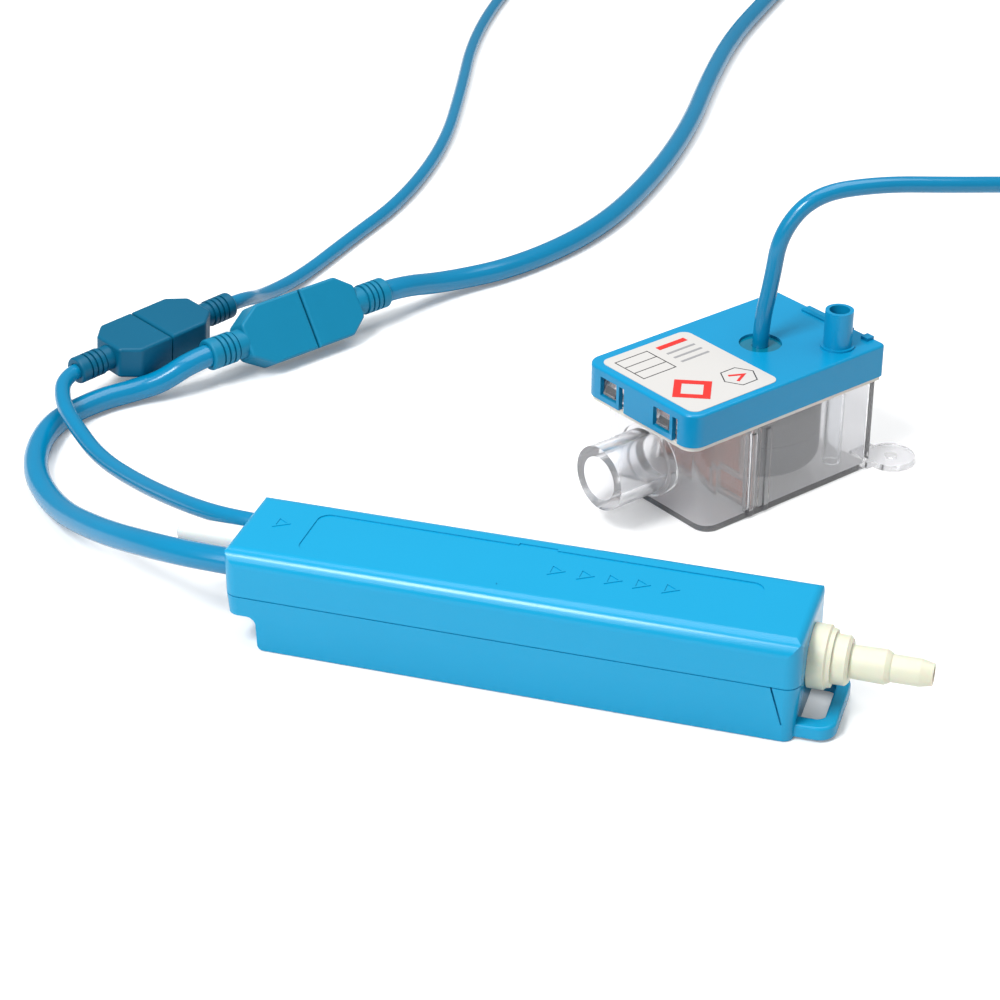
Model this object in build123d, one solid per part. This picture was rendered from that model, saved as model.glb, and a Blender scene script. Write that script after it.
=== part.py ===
"""Condensate pump: an in-line solenoid piston pump in a slim housing, with a float reservoir.

Row frame, millimetres: origin on the pump's flat base, halfway along its body; +X along the flow,
from inlet to outlet; +Z up.  The reservoir has its own frame, +X from its inlet to its back wall.
"""

from build123d import *
import math
import os

# ----------------------------------------------------------------------------- pump housing
BODY_LENGTH = 159.0
BODY_WIDTH = 34.5
BODY_HEIGHT = 30.5
PARTING_Z = 17.0
SEAM_DEPTH = 0.3             # shallow step under the parting line
SEAM_HEIGHT = 0.35
SHELL_WALL = 1.6
BODY_CORNER_R = 4.0
TOP_EDGE_R = 4.5
LOWER_DRAFT = 1.2            # how far each side leans in at the base
NOTCH_LENGTH = 9.0
NOTCH_HEIGHT = 10.7
NOTCH_INNER_R = 2.5
NOTCH_OUTER_R = 1.6
PANEL_X0 = -60.5
PANEL_X1 = 64.6
PANEL_WIDTH = 20.4
PANEL_DEPTH = 0.35
PANEL_CORNER_R = 3.5
PANEL_TAB_X = 1.8
PANEL_TAB_LENGTH = 10.8
PANEL_TAB_WIDTH = 0.9
SLIT_WIDTH = 0.5
SLIT_DEPTH = 0.5
SLIT_TOP_X = 72.2
SLIT_FOOT_X = 75.4
SLIT_FOOT_Z = 5.2
LOOP_REACH = 9.4             # from the end face to the bar's outer side
LOOP_BAR = 3.6
LOOP_WIDTH = 28.0
LOOP_THICKNESS = 4.2
LOOP_LIFT = 0.3
LOOP_OUTER_R = 5.0
LOOP_INNER_R = 2.4

# ----------------------------------------------------------------------------- flow path
FLOW_Z = 17.6
PORT_CLEARANCE = 0.2
COLLAR_1_R = 8.7
COLLAR_1_LENGTH = 5.9
COLLAR_2_R = 6.7
COLLAR_2_LENGTH = 4.4
BARB_1_R = 4.7
BARB_1_LENGTH = 10.4
BARB_2_R = 3.75
BARB_2_LENGTH = 11.2
BARB_TIP_R = 3.0
BARB_TIP_CHAMFER = 3.4
NOZZLE_BORE_R = 2.2
NOZZLE_NECK_R = 5.6
NOZZLE_FLANGE_R = 7.4
NOZZLE_FLANGE_THICKNESS = 2.4
INLET_Y = 3.0
INLET_Z = 22.5
INLET_R = 3.7
INLET_REACH = 20.5
INLET_BORE_R = 2.0
INLET_FLANGE_R = 5.0
INLET_FLANGE_THICKNESS = 1.6
INLET_TAIL = 5.0
HOSE_WALL = 0.9

# ----------------------------------------------------------------------------- motor and pump core
SLEEVE_X0 = -8.0
SLEEVE_LENGTH = 50.0
SLEEVE_R = 5.0
SLEEVE_BORE_R = 4.3
PISTON_CLEARANCE = 0.05
PISTON_LENGTH = 24.0
PISTON_BORE_R = 1.8
PISTON_STROKE = 2.5          # each way from rest
COIL_LENGTH = 34.0
BOBBIN_FLANGE_R = 9.4
BOBBIN_WALL = 1.0
BOBBIN_FLANGE = 1.4
WINDING_R = 8.8
YOKE_THICKNESS = 1.4
YOKE_HALF_WIDTH = 10.4
SLEEVE_FIT = 0.05
SPRING_WIRE_R = 0.35
SQUARE_WIRE = 1.7            # side of the wire over its half height
SPRING_COILS = 4
SPRING_GAP = 0.15
HEAD_R = 8.2
HEAD_WALL = 2.0
VALVE_R = 2.9
VALVE_THICKNESS = 1.4
VALVE_STEM_R = 0.9
VALVE_LIFT = 0.8
VALVE_CHAMBER_R = 3.6
VALVE_SPRING_R = 2.5
VALVE_WIRE_R = 0.25
O_RING_R = 0.3
MOUNT_WIDTH = 4.0
MOUNT_GAP = 0.25

# ----------------------------------------------------------------------------- control board
BOARD_X0 = -66.0
BOARD_LENGTH = 42.0
BOARD_WIDTH = 28.0
BOARD_THICKNESS = 1.6
BOARD_Z = 4.4
BOARD_POST_R = 1.6

# ----------------------------------------------------------------------------- cables and connectors
MAINS_CABLE_R = 3.75
SENSOR_CABLE_R = 2.5
MAINS_EXIT_Y = -8.0
MAINS_EXIT_Z = 21.8
SENSOR_EXIT_Y = 10.5
SENSOR_EXIT_Z = 24.0
CABLE_HOLE_CLEARANCE = 0.2
ANCHOR_DEPTH = 5.0
ANCHOR_WALL = 0.9
CABLE_SEAT = 3.0             # how far a cable reaches into its anchor, plug or grommet
SEAT_CLEARANCE = 0.06

MAINS_PLUG_CENTRE = (-123.8, 157.8, 11.4)
MAINS_PLUG_HEADING = 58.3
MAINS_PLUG_TILT = 58.0
MAINS_SOCKET_HALF = 25.2
MAINS_PLUG_HALF = 21.2
MAINS_PLUG_WIDTH = 20.6
MAINS_PLUG_HEIGHT = 9.5
MAINS_RELIEF_R = 5.2
SENSOR_PLUG_CENTRE = (-164.5, 127.1, 13.65)
SENSOR_PLUG_HEADING = 65.0
SENSOR_PLUG_TILT = 6.0
SENSOR_SOCKET_HALF = 18.5
SENSOR_PLUG_HALF = 20.8
SENSOR_PLUG_WIDTH = 20.5
SENSOR_PLUG_HEIGHT = 10.8
SENSOR_RELIEF_R = 4.4
PLUG_SEAM = 0.5
PLUG_NECK = 3.2
RELIEF_LENGTH = 10.2
RING_COUNT = 3
RING_GROOVE = 0.7
PIN_R = 0.8
PIN_LENGTH = 6.0
PIN_PITCH = 4.6

# ----------------------------------------------------------------------------- reservoir
RESERVOIR_X = 31.232
RESERVOIR_Y = 118.527
RESERVOIR_YAW = 55.458
LID_LENGTH = 78.0
LID_WIDTH = 48.0
LID_TOP_Z = 42.0
LID_THICKNESS = 2.0
SKIRT_HEIGHT = 10.5
SKIRT_WALL = 1.5
LID_FRONT_R = 5.0
LID_BACK_R = 1.5
WINDOW_CENTRES = (-12.95, 10.7)
WINDOW_WIDTH = 7.2
WINDOW_TOP_GAP = 2.0
SLOT_OFFSET = 5.9
SLOT_WIDTH = 2.2
NUB_WIDTH = 5.0
NUB_HEIGHT = 3.0
LID_CLEARANCE = 0.3
TANK_FRONT_X = -33.5
TANK_FRONT_LEAN = 2.8
TANK_BACK_X = 37.5
TANK_WIDTH = 45.0
TANK_WALL = 1.5
TANK_CORNER_R = 5.0
TANK_RIM_Z = 39.0
GASKET_THICKNESS = 1.4
GASKET_OVERHANG = 0.6
RIB_POSITIONS = (-13.0, -7.0)
RIB_WIDTH = 1.9
RIB_DEPTH = 0.8
RIB_TOP_Z = 28.0
INTAKE_Z = 17.0
INTAKE_R = 10.0
INTAKE_BORE_R = 6.8
INTAKE_END_X = -53.0
INTAKE_FLANGE_R = 11.4
LUG_X = 45.2
LUG_Y = 24.0
LUG_R = 7.4
LUG_HOLE_R = 2.0
LUG_THICKNESS = 2.0
SPIGOT_X = 26.5
SPIGOT_Y = -15.8
SPIGOT_R = 4.3
SPIGOT_BORE_R = 3.1
SPIGOT_HEIGHT = 12.0
CABLE_PORT_X = 9.8
CABLE_PORT_R = 6.5
FLOAT_R = 19.0
FLOAT_HEIGHT = 24.0
FLOAT_BASE_Z = 4.5
FLOAT_EDGE_R = 5.0
STEM_R = 3.8
STEM_CLEARANCE = 0.5
STEM_FOOT_Z = 2.2
CLIP_THICKNESS = 1.0
CLIP_R = 6.2
MAGNET_R = 8.0
MAGNET_THICKNESS = 3.6
FILTER_X = -11.5
FILTER_THICKNESS = 2.4
FILTER_BORDER = 2.2
MESH_THICKNESS = 0.6
FILTER_CLEARANCE = 0.25
SUCTION_R = 2.9
SUCTION_WALL = 0.8
LABEL_LENGTH = 33.9
LABEL_WIDTH = 41.8
LABEL_CORNER_R = 3.0
LABEL_X = -19.5
LABEL_Y = -0.8
LABEL_THICKNESS = 0.15

# ----------------------------------------------------------------------------- free cable routes
MAINS_COIL_CENTRE = (-92.0, 598.0)
MAINS_COIL_R = 43.0
LEAD_COIL_CENTRE = (142.0, 300.0)
LEAD_COIL_R = 28.0
MAINS_COIL_WIDE = 2.0        # turns side by side in each layer
LEAD_COIL_WIDE = 1.2
COIL_LAYERS = 2.0
LEAD_COIL_ENTRY = 20.0       # how far beside a coil's centre its cable runs in, along the tangent
MAINS_COIL_ENTRY = 31.0
CORE_R = 1.1
CORE_LENGTH = 26.0

OUT = "parts"


def reservoir_place():
    return Location((RESERVOIR_X, RESERVOIR_Y, 0), (0, 0, RESERVOIR_YAW))


def axis_x(x, y, z):
    """A place whose own +Z runs along the row's +X."""
    return Location((x, y, z), (0, 90, 0))


def rod(x0, x1, radius, y=0.0, z=FLOW_Z):
    return axis_x(x0, y, z) * extrude(Circle(radius), x1 - x0)


def tube(x0, x1, radius, bore, y=0.0, z=FLOW_Z):
    return axis_x(x0, y, z) * extrude(Circle(radius) - Circle(bore), x1 - x0)


def slab(x0, x1, y0, y1, z0, z1):
    return Pos((x0 + x1) / 2, (y0 + y1) / 2, (z0 + z1) / 2) * Box(x1 - x0, y1 - y0, z1 - z0)


def outline_block(points, radii, depth, plane):
    """Extrude a closed outline with rounded corners to both sides of a plane."""
    line = FilletPolyline(*points, radius=radii, close=True)
    return extrude(plane * make_face(line), depth / 2, both=True)


# ----------------------------------------------------------------------------- housing
def end_profile(inset):
    """Side view of the housing with the step under its cable end, set in by a wall."""
    x0 = -BODY_LENGTH / 2 + inset
    x1 = BODY_LENGTH / 2 - inset
    step = x0 + NOTCH_LENGTH
    base = inset
    rise = NOTCH_HEIGHT + inset
    top = BODY_HEIGHT + 1.0
    points = [(x0, rise), (step, rise), (step, base), (x1 + 2.0, base), (x1 + 2.0, top), (x0 - 1.0, top)]
    points = [(x0 - 1.0, rise)] + points[1:]
    radii = [0, NOTCH_INNER_R, NOTCH_OUTER_R, 0, 0, 0]
    return outline_block(points, radii, BODY_WIDTH * 2, Plane.XZ)


def lower_block(inset):
    plan = RectangleRounded(BODY_LENGTH - 2 * inset, BODY_WIDTH - 2 * inset, BODY_CORNER_R - inset)
    draft = math.degrees(math.atan(LOWER_DRAFT / PARTING_Z))
    block = Pos(0, 0, PARTING_Z) * extrude(plan, -PARTING_Z, taper=draft)
    return block & end_profile(inset)


def upper_block(inset):
    height = BODY_HEIGHT - PARTING_Z - inset
    plan = RectangleRounded(BODY_LENGTH - 2 * inset, BODY_WIDTH - 2 * inset, BODY_CORNER_R - inset)
    block = Pos(0, 0, PARTING_Z) * extrude(plan, height)
    long_r = TOP_EDGE_R - inset
    section = RectangleRounded(BODY_WIDTH - 2 * inset, 2 * height, long_r)
    bar = axis_x(-BODY_LENGTH / 2, 0, PARTING_Z) * Rot(0, 0, 90) * extrude(section, BODY_LENGTH)
    end_r = TOP_EDGE_R / 2 - inset / 2
    side = RectangleRounded(BODY_LENGTH - 2 * inset, 2 * height, end_r)
    slab_side = Pos(0, 0, PARTING_Z) * extrude(Plane.XZ * side, BODY_WIDTH, both=True)
    return block & bar & slab_side


def hanging_loop():
    face_x = BODY_LENGTH / 2
    start = face_x - SHELL_WALL
    outer = RectangleRounded(2 * (LOOP_REACH + 3), LOOP_WIDTH, LOOP_OUTER_R)
    reach = LOOP_REACH - LOOP_BAR
    inner = RectangleRounded(2 * (reach + 3), LOOP_WIDTH - 2 * (LOOP_BAR + 1.1), LOOP_INNER_R)
    ring = Pos(face_x - 3, 0, LOOP_LIFT) * extrude(outer - inner, LOOP_THICKNESS)
    ring = ring & slab(start, face_x + LOOP_REACH + 1, -LOOP_WIDTH, LOOP_WIDTH, 0, PARTING_Z)
    return fillet(ring.edges().filter_by(GeomType.LINE).filter_by(Axis.Y), 0.9)


def lower_shell():
    shell = lower_block(0) - lower_block(SHELL_WALL)
    shell += hanging_loop()
    shell -= rod(BODY_LENGTH / 2 - 2 * SHELL_WALL, BODY_LENGTH / 2 + 1, NOZZLE_NECK_R + PORT_CLEARANCE)
    mid = (SLIT_TOP_X + SLIT_FOOT_X) / 2
    rise = PARTING_Z - SLIT_FOOT_Z
    lean = math.degrees(math.atan((SLIT_FOOT_X - SLIT_TOP_X) / rise))
    for side in (-1, 1):
        slit = Box(SLIT_WIDTH, 2 * (SLIT_DEPTH + LOWER_DRAFT / 2), rise + 0.4)
        wall_y = side * (BODY_WIDTH / 2 - LOWER_DRAFT / 4)
        shell -= Pos(mid, wall_y, SLIT_FOOT_Z + rise / 2) * Rot(0, -lean, 0) * slit
    for x in mount_places():
        shell += mount_saddle(x, 0.0, PARTING_Z)
    seam = lower_block(0) - lower_block(SEAM_DEPTH)
    shell -= seam & slab(-BODY_LENGTH, BODY_LENGTH / 2 + 1, -BODY_WIDTH, BODY_WIDTH, PARTING_Z - SEAM_HEIGHT, PARTING_Z)
    for x, y in board_posts():
        shell += Pos(x, y, SHELL_WALL) * extrude(Circle(BOARD_POST_R), BOARD_Z - SHELL_WALL)
    return shell


def upper_shell():
    shell = upper_block(0) - upper_block(SHELL_WALL)
    panel_mid = (PANEL_X0 + PANEL_X1) / 2
    panel = RectangleRounded(PANEL_X1 - PANEL_X0, PANEL_WIDTH, PANEL_CORNER_R)
    panel += Pos(PANEL_TAB_X - panel_mid, 0) * Rectangle(PANEL_TAB_LENGTH, PANEL_WIDTH + 2 * PANEL_TAB_WIDTH)
    shell -= Pos(panel_mid, 0, BODY_HEIGHT - PANEL_DEPTH) * extrude(panel, 1)
    shell -= rod(BODY_LENGTH / 2 - 2 * SHELL_WALL, BODY_LENGTH / 2 + 1, NOZZLE_NECK_R + PORT_CLEARANCE)
    for y, z, radius in end_holes():
        shell -= rod(-BODY_LENGTH / 2 - 1, -BODY_LENGTH / 2 + 2 * SHELL_WALL, radius, y, z)
    for x in mount_places():
        shell += mount_saddle(x, PARTING_Z, BODY_HEIGHT)
    return shell


def end_holes():
    """Holes in the cable end: (y, z, radius) of mains cable, inlet barb and sensor cable."""
    return (
        (MAINS_EXIT_Y, MAINS_EXIT_Z, MAINS_CABLE_R + CABLE_HOLE_CLEARANCE),
        (INLET_Y, INLET_Z, INLET_R + CABLE_HOLE_CLEARANCE),
        (SENSOR_EXIT_Y, SENSOR_EXIT_Z, SENSOR_CABLE_R + CABLE_HOLE_CLEARANCE),
    )


def mount_places():
    return (SLEEVE_X0 - 5.0, SLEEVE_X0 + SLEEVE_LENGTH + 9.0)


def mount_ring_r():
    return HEAD_R + 2.2


def mount_saddle(x, z0, z1):
    """A rib across the shell, bored to hold a rubber mount, kept to one shell by its z range."""
    block = lower_block(SHELL_WALL / 2) + upper_block(SHELL_WALL / 2)
    slice_box = slab(x - MOUNT_WIDTH / 2, x + MOUNT_WIDTH / 2, -BODY_WIDTH, BODY_WIDTH, z0, z1)
    rib = block & slice_box
    gap = MOUNT_GAP / 2
    rib -= rod(x - MOUNT_WIDTH, x + MOUNT_WIDTH, mount_ring_r() + gap)
    return rib


# ----------------------------------------------------------------------------- flow path
def outlet_nozzle():
    face = BODY_LENGTH / 2
    collar_1 = face + COLLAR_1_LENGTH
    collar_2 = collar_1 + COLLAR_2_LENGTH
    barb_1 = collar_2 + BARB_1_LENGTH
    barb_2 = barb_1 + BARB_2_LENGTH
    lean = LOWER_DRAFT * (PARTING_Z - FLOW_Z + NOZZLE_FLANGE_R) / PARTING_Z
    inner = face - SHELL_WALL - lean - PORT_CLEARANCE
    flange = inner - NOZZLE_FLANGE_THICKNESS
    tail = nozzle_tail()
    outline = [
        (NOZZLE_BORE_R, tail),
        (VALVE_CHAMBER_R + 1.0, tail),
        (VALVE_CHAMBER_R + 1.0, flange),
        (NOZZLE_FLANGE_R, flange),
        (NOZZLE_FLANGE_R, inner),
        (NOZZLE_NECK_R, inner),
        (NOZZLE_NECK_R, face + 0.02),
        (COLLAR_1_R, face + 0.02),
        (COLLAR_1_R, collar_1 - 1.6),
        (COLLAR_1_R - 0.7, collar_1 - 1.1),
        (COLLAR_1_R - 0.9, collar_1),
        (COLLAR_2_R, collar_1),
        (COLLAR_2_R, collar_2 - 0.8),
        (COLLAR_2_R - 0.8, collar_2),
        (BARB_1_R - 0.2, collar_2),
        (BARB_1_R, barb_1 - 1.2),
        (BARB_1_R - 0.6, barb_1),
        (BARB_2_R, barb_1 + 0.4),
        (BARB_2_R, barb_2 - BARB_TIP_CHAMFER),
        (BARB_TIP_R, barb_2),
        (NOZZLE_BORE_R, barb_2),
    ]
    face_xz = Pos(0, 0, FLOW_Z) * Rot(0, 90, 0) * revolve(Plane.XZ * make_face(Polyline(*outline, close=True)), Axis.Z)
    groove = tube(tail + 2.0 - O_RING_R - 0.1, tail + 2.0 + O_RING_R + 0.1, VALVE_CHAMBER_R + 2.0,
                  VALVE_CHAMBER_R + 1.0 - 0.6)
    return face_xz - rod(tail - 1, nozzle_chamber_end(), VALVE_CHAMBER_R) - groove


def nozzle_chamber_end():
    return nozzle_tail() + VALVE_THICKNESS + VALVE_LIFT + 3.0


def core_end():
    return SLEEVE_X0 + SLEEVE_LENGTH


def nozzle_tail():
    return core_end() + 18.0


def outlet_head():
    """Valve head between the sleeve and the nozzle, with a seat for the outlet valve."""
    x0 = core_end() - 4.0
    x1 = nozzle_tail() + 4.0
    head = rod(x0, x1, HEAD_R)
    head -= rod(x0 - 1, core_end() + SLEEVE_FIT, SLEEVE_R + SLEEVE_FIT)
    head -= rod(core_end() - 1, outlet_seat_x() - HEAD_WALL, SLEEVE_BORE_R)
    head -= rod(core_end(), outlet_seat_x() + 1, 1.6)
    head -= rod(outlet_seat_x(), nozzle_tail() + 1, VALVE_CHAMBER_R)
    head -= rod(nozzle_tail() - SLEEVE_FIT, x1 + 1, VALVE_CHAMBER_R + 1.0 + SLEEVE_FIT)
    return head


def outlet_seat_x():
    return nozzle_tail() - 5.0


def poppet(x):
    """Valve disc with a short guide stem, its seat side at x."""
    disc = rod(x, x + VALVE_THICKNESS, VALVE_R)
    return disc + rod(x + VALVE_THICKNESS, x + VALVE_THICKNESS + 1.6, VALVE_STEM_R)


def outlet_valve():
    return poppet(outlet_seat_x() + 0.05)


def helix_spring(x0, x1, radius, wire, coils):
    """A square-wire helix along +X between two seats, with half the wire kept inside the ends."""
    height = x1 - x0 - 2 * wire
    path = Helix(pitch=height / coils, height=height, radius=radius)
    profile = Plane(path @ 0, z_dir=path % 0) * Rectangle(SQUARE_WIRE * wire, SQUARE_WIRE * wire)
    return axis_x(x0 + wire, 0, FLOW_Z) * sweep(profile, path=path, is_frenet=True)


def piston_x0():
    return SLEEVE_X0 + (SLEEVE_LENGTH - PISTON_LENGTH) / 2


def inlet_head():
    """Nylon end piece with the hose tail, closing the sleeve's inlet end."""
    x1 = SLEEVE_X0 + 4.0
    head = rod(SLEEVE_X0 - 8.0, x1, HEAD_R)
    head += rod(hose_core_end() + 1.0, SLEEVE_X0 - 8.0, INLET_BORE_R + 1.0)
    head -= rod(SLEEVE_X0 - SLEEVE_FIT, x1 + 1, SLEEVE_R + SLEEVE_FIT)
    return head - rod(hose_core_end(), SLEEVE_X0 + 1, INLET_BORE_R - 0.4)


def hose_core_end():
    return SLEEVE_X0 - 22.0


def sleeve():
    return tube(SLEEVE_X0, core_end(), SLEEVE_R, SLEEVE_BORE_R)


def piston():
    x0 = piston_x0()
    body = tube(x0, x0 + PISTON_LENGTH, SLEEVE_BORE_R - PISTON_CLEARANCE, PISTON_BORE_R)
    seat = x0 + PISTON_LENGTH - 3.4
    return body - rod(seat, x0 + PISTON_LENGTH + 1, VALVE_R + 0.2)


def inlet_valve():
    """Disc valve carried in the outlet end of the piston."""
    seat = piston_x0() + PISTON_LENGTH - 3.4
    return rod(seat + 0.05, seat + 0.05 + VALVE_THICKNESS, VALVE_R)


def valve_retainer():
    x1 = piston_x0() + PISTON_LENGTH
    return tube(x1 - 0.8, x1, VALVE_R + 0.15, 1.6)


def coil_x0():
    return SLEEVE_X0 + (SLEEVE_LENGTH - COIL_LENGTH) / 2


def coil_bobbin():
    x0 = coil_x0()
    x1 = x0 + COIL_LENGTH
    bore = SLEEVE_R + SLEEVE_FIT
    body = tube(x0, x1, bore + BOBBIN_WALL, bore)
    body += tube(x0, x0 + BOBBIN_FLANGE, BOBBIN_FLANGE_R, bore)
    return body + tube(x1 - BOBBIN_FLANGE, x1, BOBBIN_FLANGE_R, bore)


def coil_winding():
    bore = SLEEVE_R + SLEEVE_FIT + BOBBIN_WALL + SLEEVE_FIT
    gap = BOBBIN_FLANGE + SLEEVE_FIT
    return tube(coil_x0() + gap, coil_x0() + COIL_LENGTH - gap, WINDING_R, bore)


def yoke():
    """Steel frame folded round the coil: two end plates and two side plates."""
    x0 = coil_x0() - YOKE_THICKNESS - SLEEVE_FIT
    x1 = coil_x0() + COIL_LENGTH + YOKE_THICKNESS + SLEEVE_FIT
    half = YOKE_HALF_WIDTH
    frame = slab(x0, x1, -half - YOKE_THICKNESS, half + YOKE_THICKNESS, FLOW_Z - 8, FLOW_Z + 8)
    frame -= slab(x0 + YOKE_THICKNESS, x1 - YOKE_THICKNESS, -half, half, FLOW_Z - 9, FLOW_Z + 9)
    frame = fillet(frame.edges().filter_by(Axis.Z), 1.0)
    return frame - rod(x0 - 1, x1 + 1, SLEEVE_R + SLEEVE_FIT)


def o_ring(x, radius):
    ring = Plane.XZ * Pos(radius + O_RING_R, 0) * Circle(O_RING_R)
    return axis_x(x, 0, FLOW_Z) * revolve(ring, Axis.Z)


def rubber_mount(x):
    ring = tube(x - MOUNT_WIDTH / 2 - 0.8, x + MOUNT_WIDTH / 2 + 0.8, mount_ring_r(), HEAD_R + 0.05)
    lips = MOUNT_WIDTH / 2 + 0.1
    return ring + tube(x + lips, x + lips + 0.9, mount_ring_r() + 0.9, HEAD_R + 0.05)


def inlet_barb():
    """Hose tail at the cable end: a rounded stub outside, a flange and a tail inside."""
    face = -BODY_LENGTH / 2
    inner = face + SHELL_WALL + PORT_CLEARANCE
    tip = face - INLET_REACH
    tail = inner + INLET_FLANGE_THICKNESS + INLET_TAIL
    outline = [
        (INLET_BORE_R, tip),
        (INLET_R - 1.0, tip),
        (INLET_R - 0.3, tip + 0.7),
        (INLET_R, tip + 2.2),
        (INLET_R, inner),
        (INLET_FLANGE_R, inner),
        (INLET_FLANGE_R, inner + INLET_FLANGE_THICKNESS),
        (INLET_BORE_R + 1.0, inner + INLET_FLANGE_THICKNESS),
        (INLET_BORE_R + 1.0, tail),
        (INLET_BORE_R, tail),
    ]
    section = Plane.XZ * make_face(Polyline(*outline, close=True))
    barb = Pos(0, INLET_Y, INLET_Z) * Rot(0, 90, 0) * revolve(section, Axis.Z)
    trim = slab(face, tail, INLET_Y - 2 * INLET_R, INLET_Y + INLET_R + 0.1, 0, BODY_HEIGHT)
    outside = slab(tip - 1, face + SHELL_WALL, -BODY_WIDTH, BODY_WIDTH, 0, BODY_HEIGHT)
    return barb & (trim + outside)


def inlet_hose():
    """Silicone hose from the inlet barb to the pump core, over both tails."""
    bore = INLET_BORE_R + 1.0 + SLEEVE_FIT
    x0 = -BODY_LENGTH / 2 + SHELL_WALL + PORT_CLEARANCE + INLET_FLANGE_THICKNESS + 0.1
    x1 = SLEEVE_X0 - 8.1
    span = x1 - x0
    path = FilletPolyline(
        (x0, INLET_Y, INLET_Z),
        (x0 + span * 0.3, INLET_Y, INLET_Z),
        (x0 + span * 0.65, 0, FLOW_Z),
        (x1, 0, FLOW_Z),
        radius=[span * 0.3, span * 0.3],
    )
    outer = sweep(Plane(path @ 0, z_dir=path % 0) * Circle(bore + HOSE_WALL), path=path)
    inner = sweep(Plane(path @ 0, z_dir=path % 0) * Circle(bore), path=path)
    return outer - inner


def cable_anchor(y, z, radius):
    """Clamp block inside the shell that a cable ends in, with a blind seat."""
    x0 = -BODY_LENGTH / 2 + SHELL_WALL + 0.1
    block = tube(x0, x0 + ANCHOR_DEPTH, radius + ANCHOR_WALL, radius + SEAT_CLEARANCE, y, z)
    return block + rod(x0 + ANCHOR_DEPTH - 1.2, x0 + ANCHOR_DEPTH, radius + ANCHOR_WALL / 2, y, z)


def anchor_seat_x():
    return -BODY_LENGTH / 2 + SHELL_WALL + 0.1 + ANCHOR_DEPTH - 1.2


# ----------------------------------------------------------------------------- control board
def board_posts():
    inset = 3.0
    return [
        (x, y)
        for x in (BOARD_X0 + inset, BOARD_X0 + BOARD_LENGTH - inset)
        for y in (-BOARD_WIDTH / 2 + inset, BOARD_WIDTH / 2 - inset)
    ]


def control_board():
    mid = BOARD_X0 + BOARD_LENGTH / 2
    return Pos(mid, 0, BOARD_Z) * extrude(Rectangle(BOARD_LENGTH, BOARD_WIDTH), BOARD_THICKNESS)


def on_board(shape, x, y):
    return Pos(BOARD_X0 + x, y, BOARD_Z + BOARD_THICKNESS) * shape


def capacitor():
    return on_board(extrude(Circle(3.2), 8.0), 8.0, -8.0)


def triac():
    body = slab(-2.2, 2.2, -5.0, 5.0, 0, 6.5)
    tab = slab(-2.2, -1.2, -5.0, 5.0, 6.5, 9.0)
    return on_board(body + tab, 20.0, 6.0)


def controller_chip():
    return on_board(slab(-4.0, 4.0, -3.2, 3.2, 0, 1.8), 27.0, -7.0)


def terminal_block():
    block = slab(-3.2, 3.2, -7.5, 7.5, 0, 6.5)
    for k in (-1, 0, 1):
        block -= Pos(0, 5.0 * k, 5.5) * extrude(Circle(1.6), 2)
    return on_board(block, 37.0, 5.0)


# ----------------------------------------------------------------------------- connectors
def plug_place(centre, heading, tilt):
    return Pos(*centre) * Rot(0, 0, heading) * Rot(tilt, 0, 0)


def relief_end(half):
    return half + PLUG_NECK + RELIEF_LENGTH


def plug_half(half, width, height, ring_r, cable_r, side):
    """Moulded half of an in-line connector, built outward along +X from the seam."""
    end_half = width * 0.27
    taper = half * 0.30
    points = [
        (PLUG_SEAM / 2, width / 2),
        (half - taper, width / 2),
        (half, end_half),
        (half, -end_half),
        (half - taper, -width / 2),
        (PLUG_SEAM / 2, -width / 2),
    ]
    plan = make_face(FilletPolyline(*points, radius=[0, 2.5, 2.0, 2.0, 2.5, 0], close=True))
    body = Pos(0, 0, -height / 2) * extrude(plan, height)
    body = fillet(body.edges().group_by(Axis.Z)[0] + body.edges().group_by(Axis.Z)[-1], height * 0.1)
    neck = Pos(half - 0.5, 0, 0) * Rot(0, 90, 0) * extrude(Circle(ring_r * 0.93), PLUG_NECK + 0.5)
    body += neck
    body += relief(half + PLUG_NECK, ring_r, cable_r)
    bore = Pos(half + PLUG_NECK + RELIEF_LENGTH - CABLE_SEAT, 0, 0) * Rot(0, 90, 0)
    body -= bore * extrude(Circle(cable_r + SEAT_CLEARANCE), CABLE_SEAT + 1)
    pocket = pin_pocket(width, height)
    if side > 0:
        body -= pocket
        return body
    return Rot(0, 0, 180) * (body - pocket)


def pin_pocket(width, height):
    depth = PIN_LENGTH + 0.6
    return slab(-0.1, depth, -width * 0.32, width * 0.32, -height * 0.27, height * 0.27)


def relief(x0, ring_r, cable_r):
    """Flexible ribbed sleeve: rings on a slimmer core, then a rounded end collar."""
    core_r = ring_r * 0.84
    pitch = RELIEF_LENGTH * 0.60 / RING_COUNT
    solid = Rot(0, 90, 0) * extrude(Circle(core_r), RELIEF_LENGTH)
    for k in range(RING_COUNT):
        start = RING_GROOVE + k * pitch
        solid += Pos(start, 0, 0) * Rot(0, 90, 0) * extrude(Circle(ring_r), pitch - RING_GROOVE)
    start = RING_GROOVE + RING_COUNT * pitch
    collar = Pos(start, 0, 0) * Rot(0, 90, 0) * extrude(Circle(ring_r), RELIEF_LENGTH - start)
    collar = fillet(collar.edges().group_by(Axis.X)[-1], 0.8)
    return Pos(x0, 0, 0) * (solid + collar)


def contact_set(width, height):
    """Carrier tongue with its contact pins, seated across the seam in both pockets."""
    clear = 0.15
    depth = PIN_LENGTH + 0.6 - clear
    tongue = slab(-depth, depth, -width * 0.32 + clear, width * 0.32 - clear,
                  -height * 0.27 + clear, height * 0.27 - clear)
    return tongue


# ----------------------------------------------------------------------------- reservoir
def rounded_plan(x0, x1, y_half, front_r, back_r):
    points = [(x0, -y_half), (x1, -y_half), (x1, y_half), (x0, y_half)]
    return make_face(FilletPolyline(*points, radius=[front_r, back_r, back_r, front_r], close=True))


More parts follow.
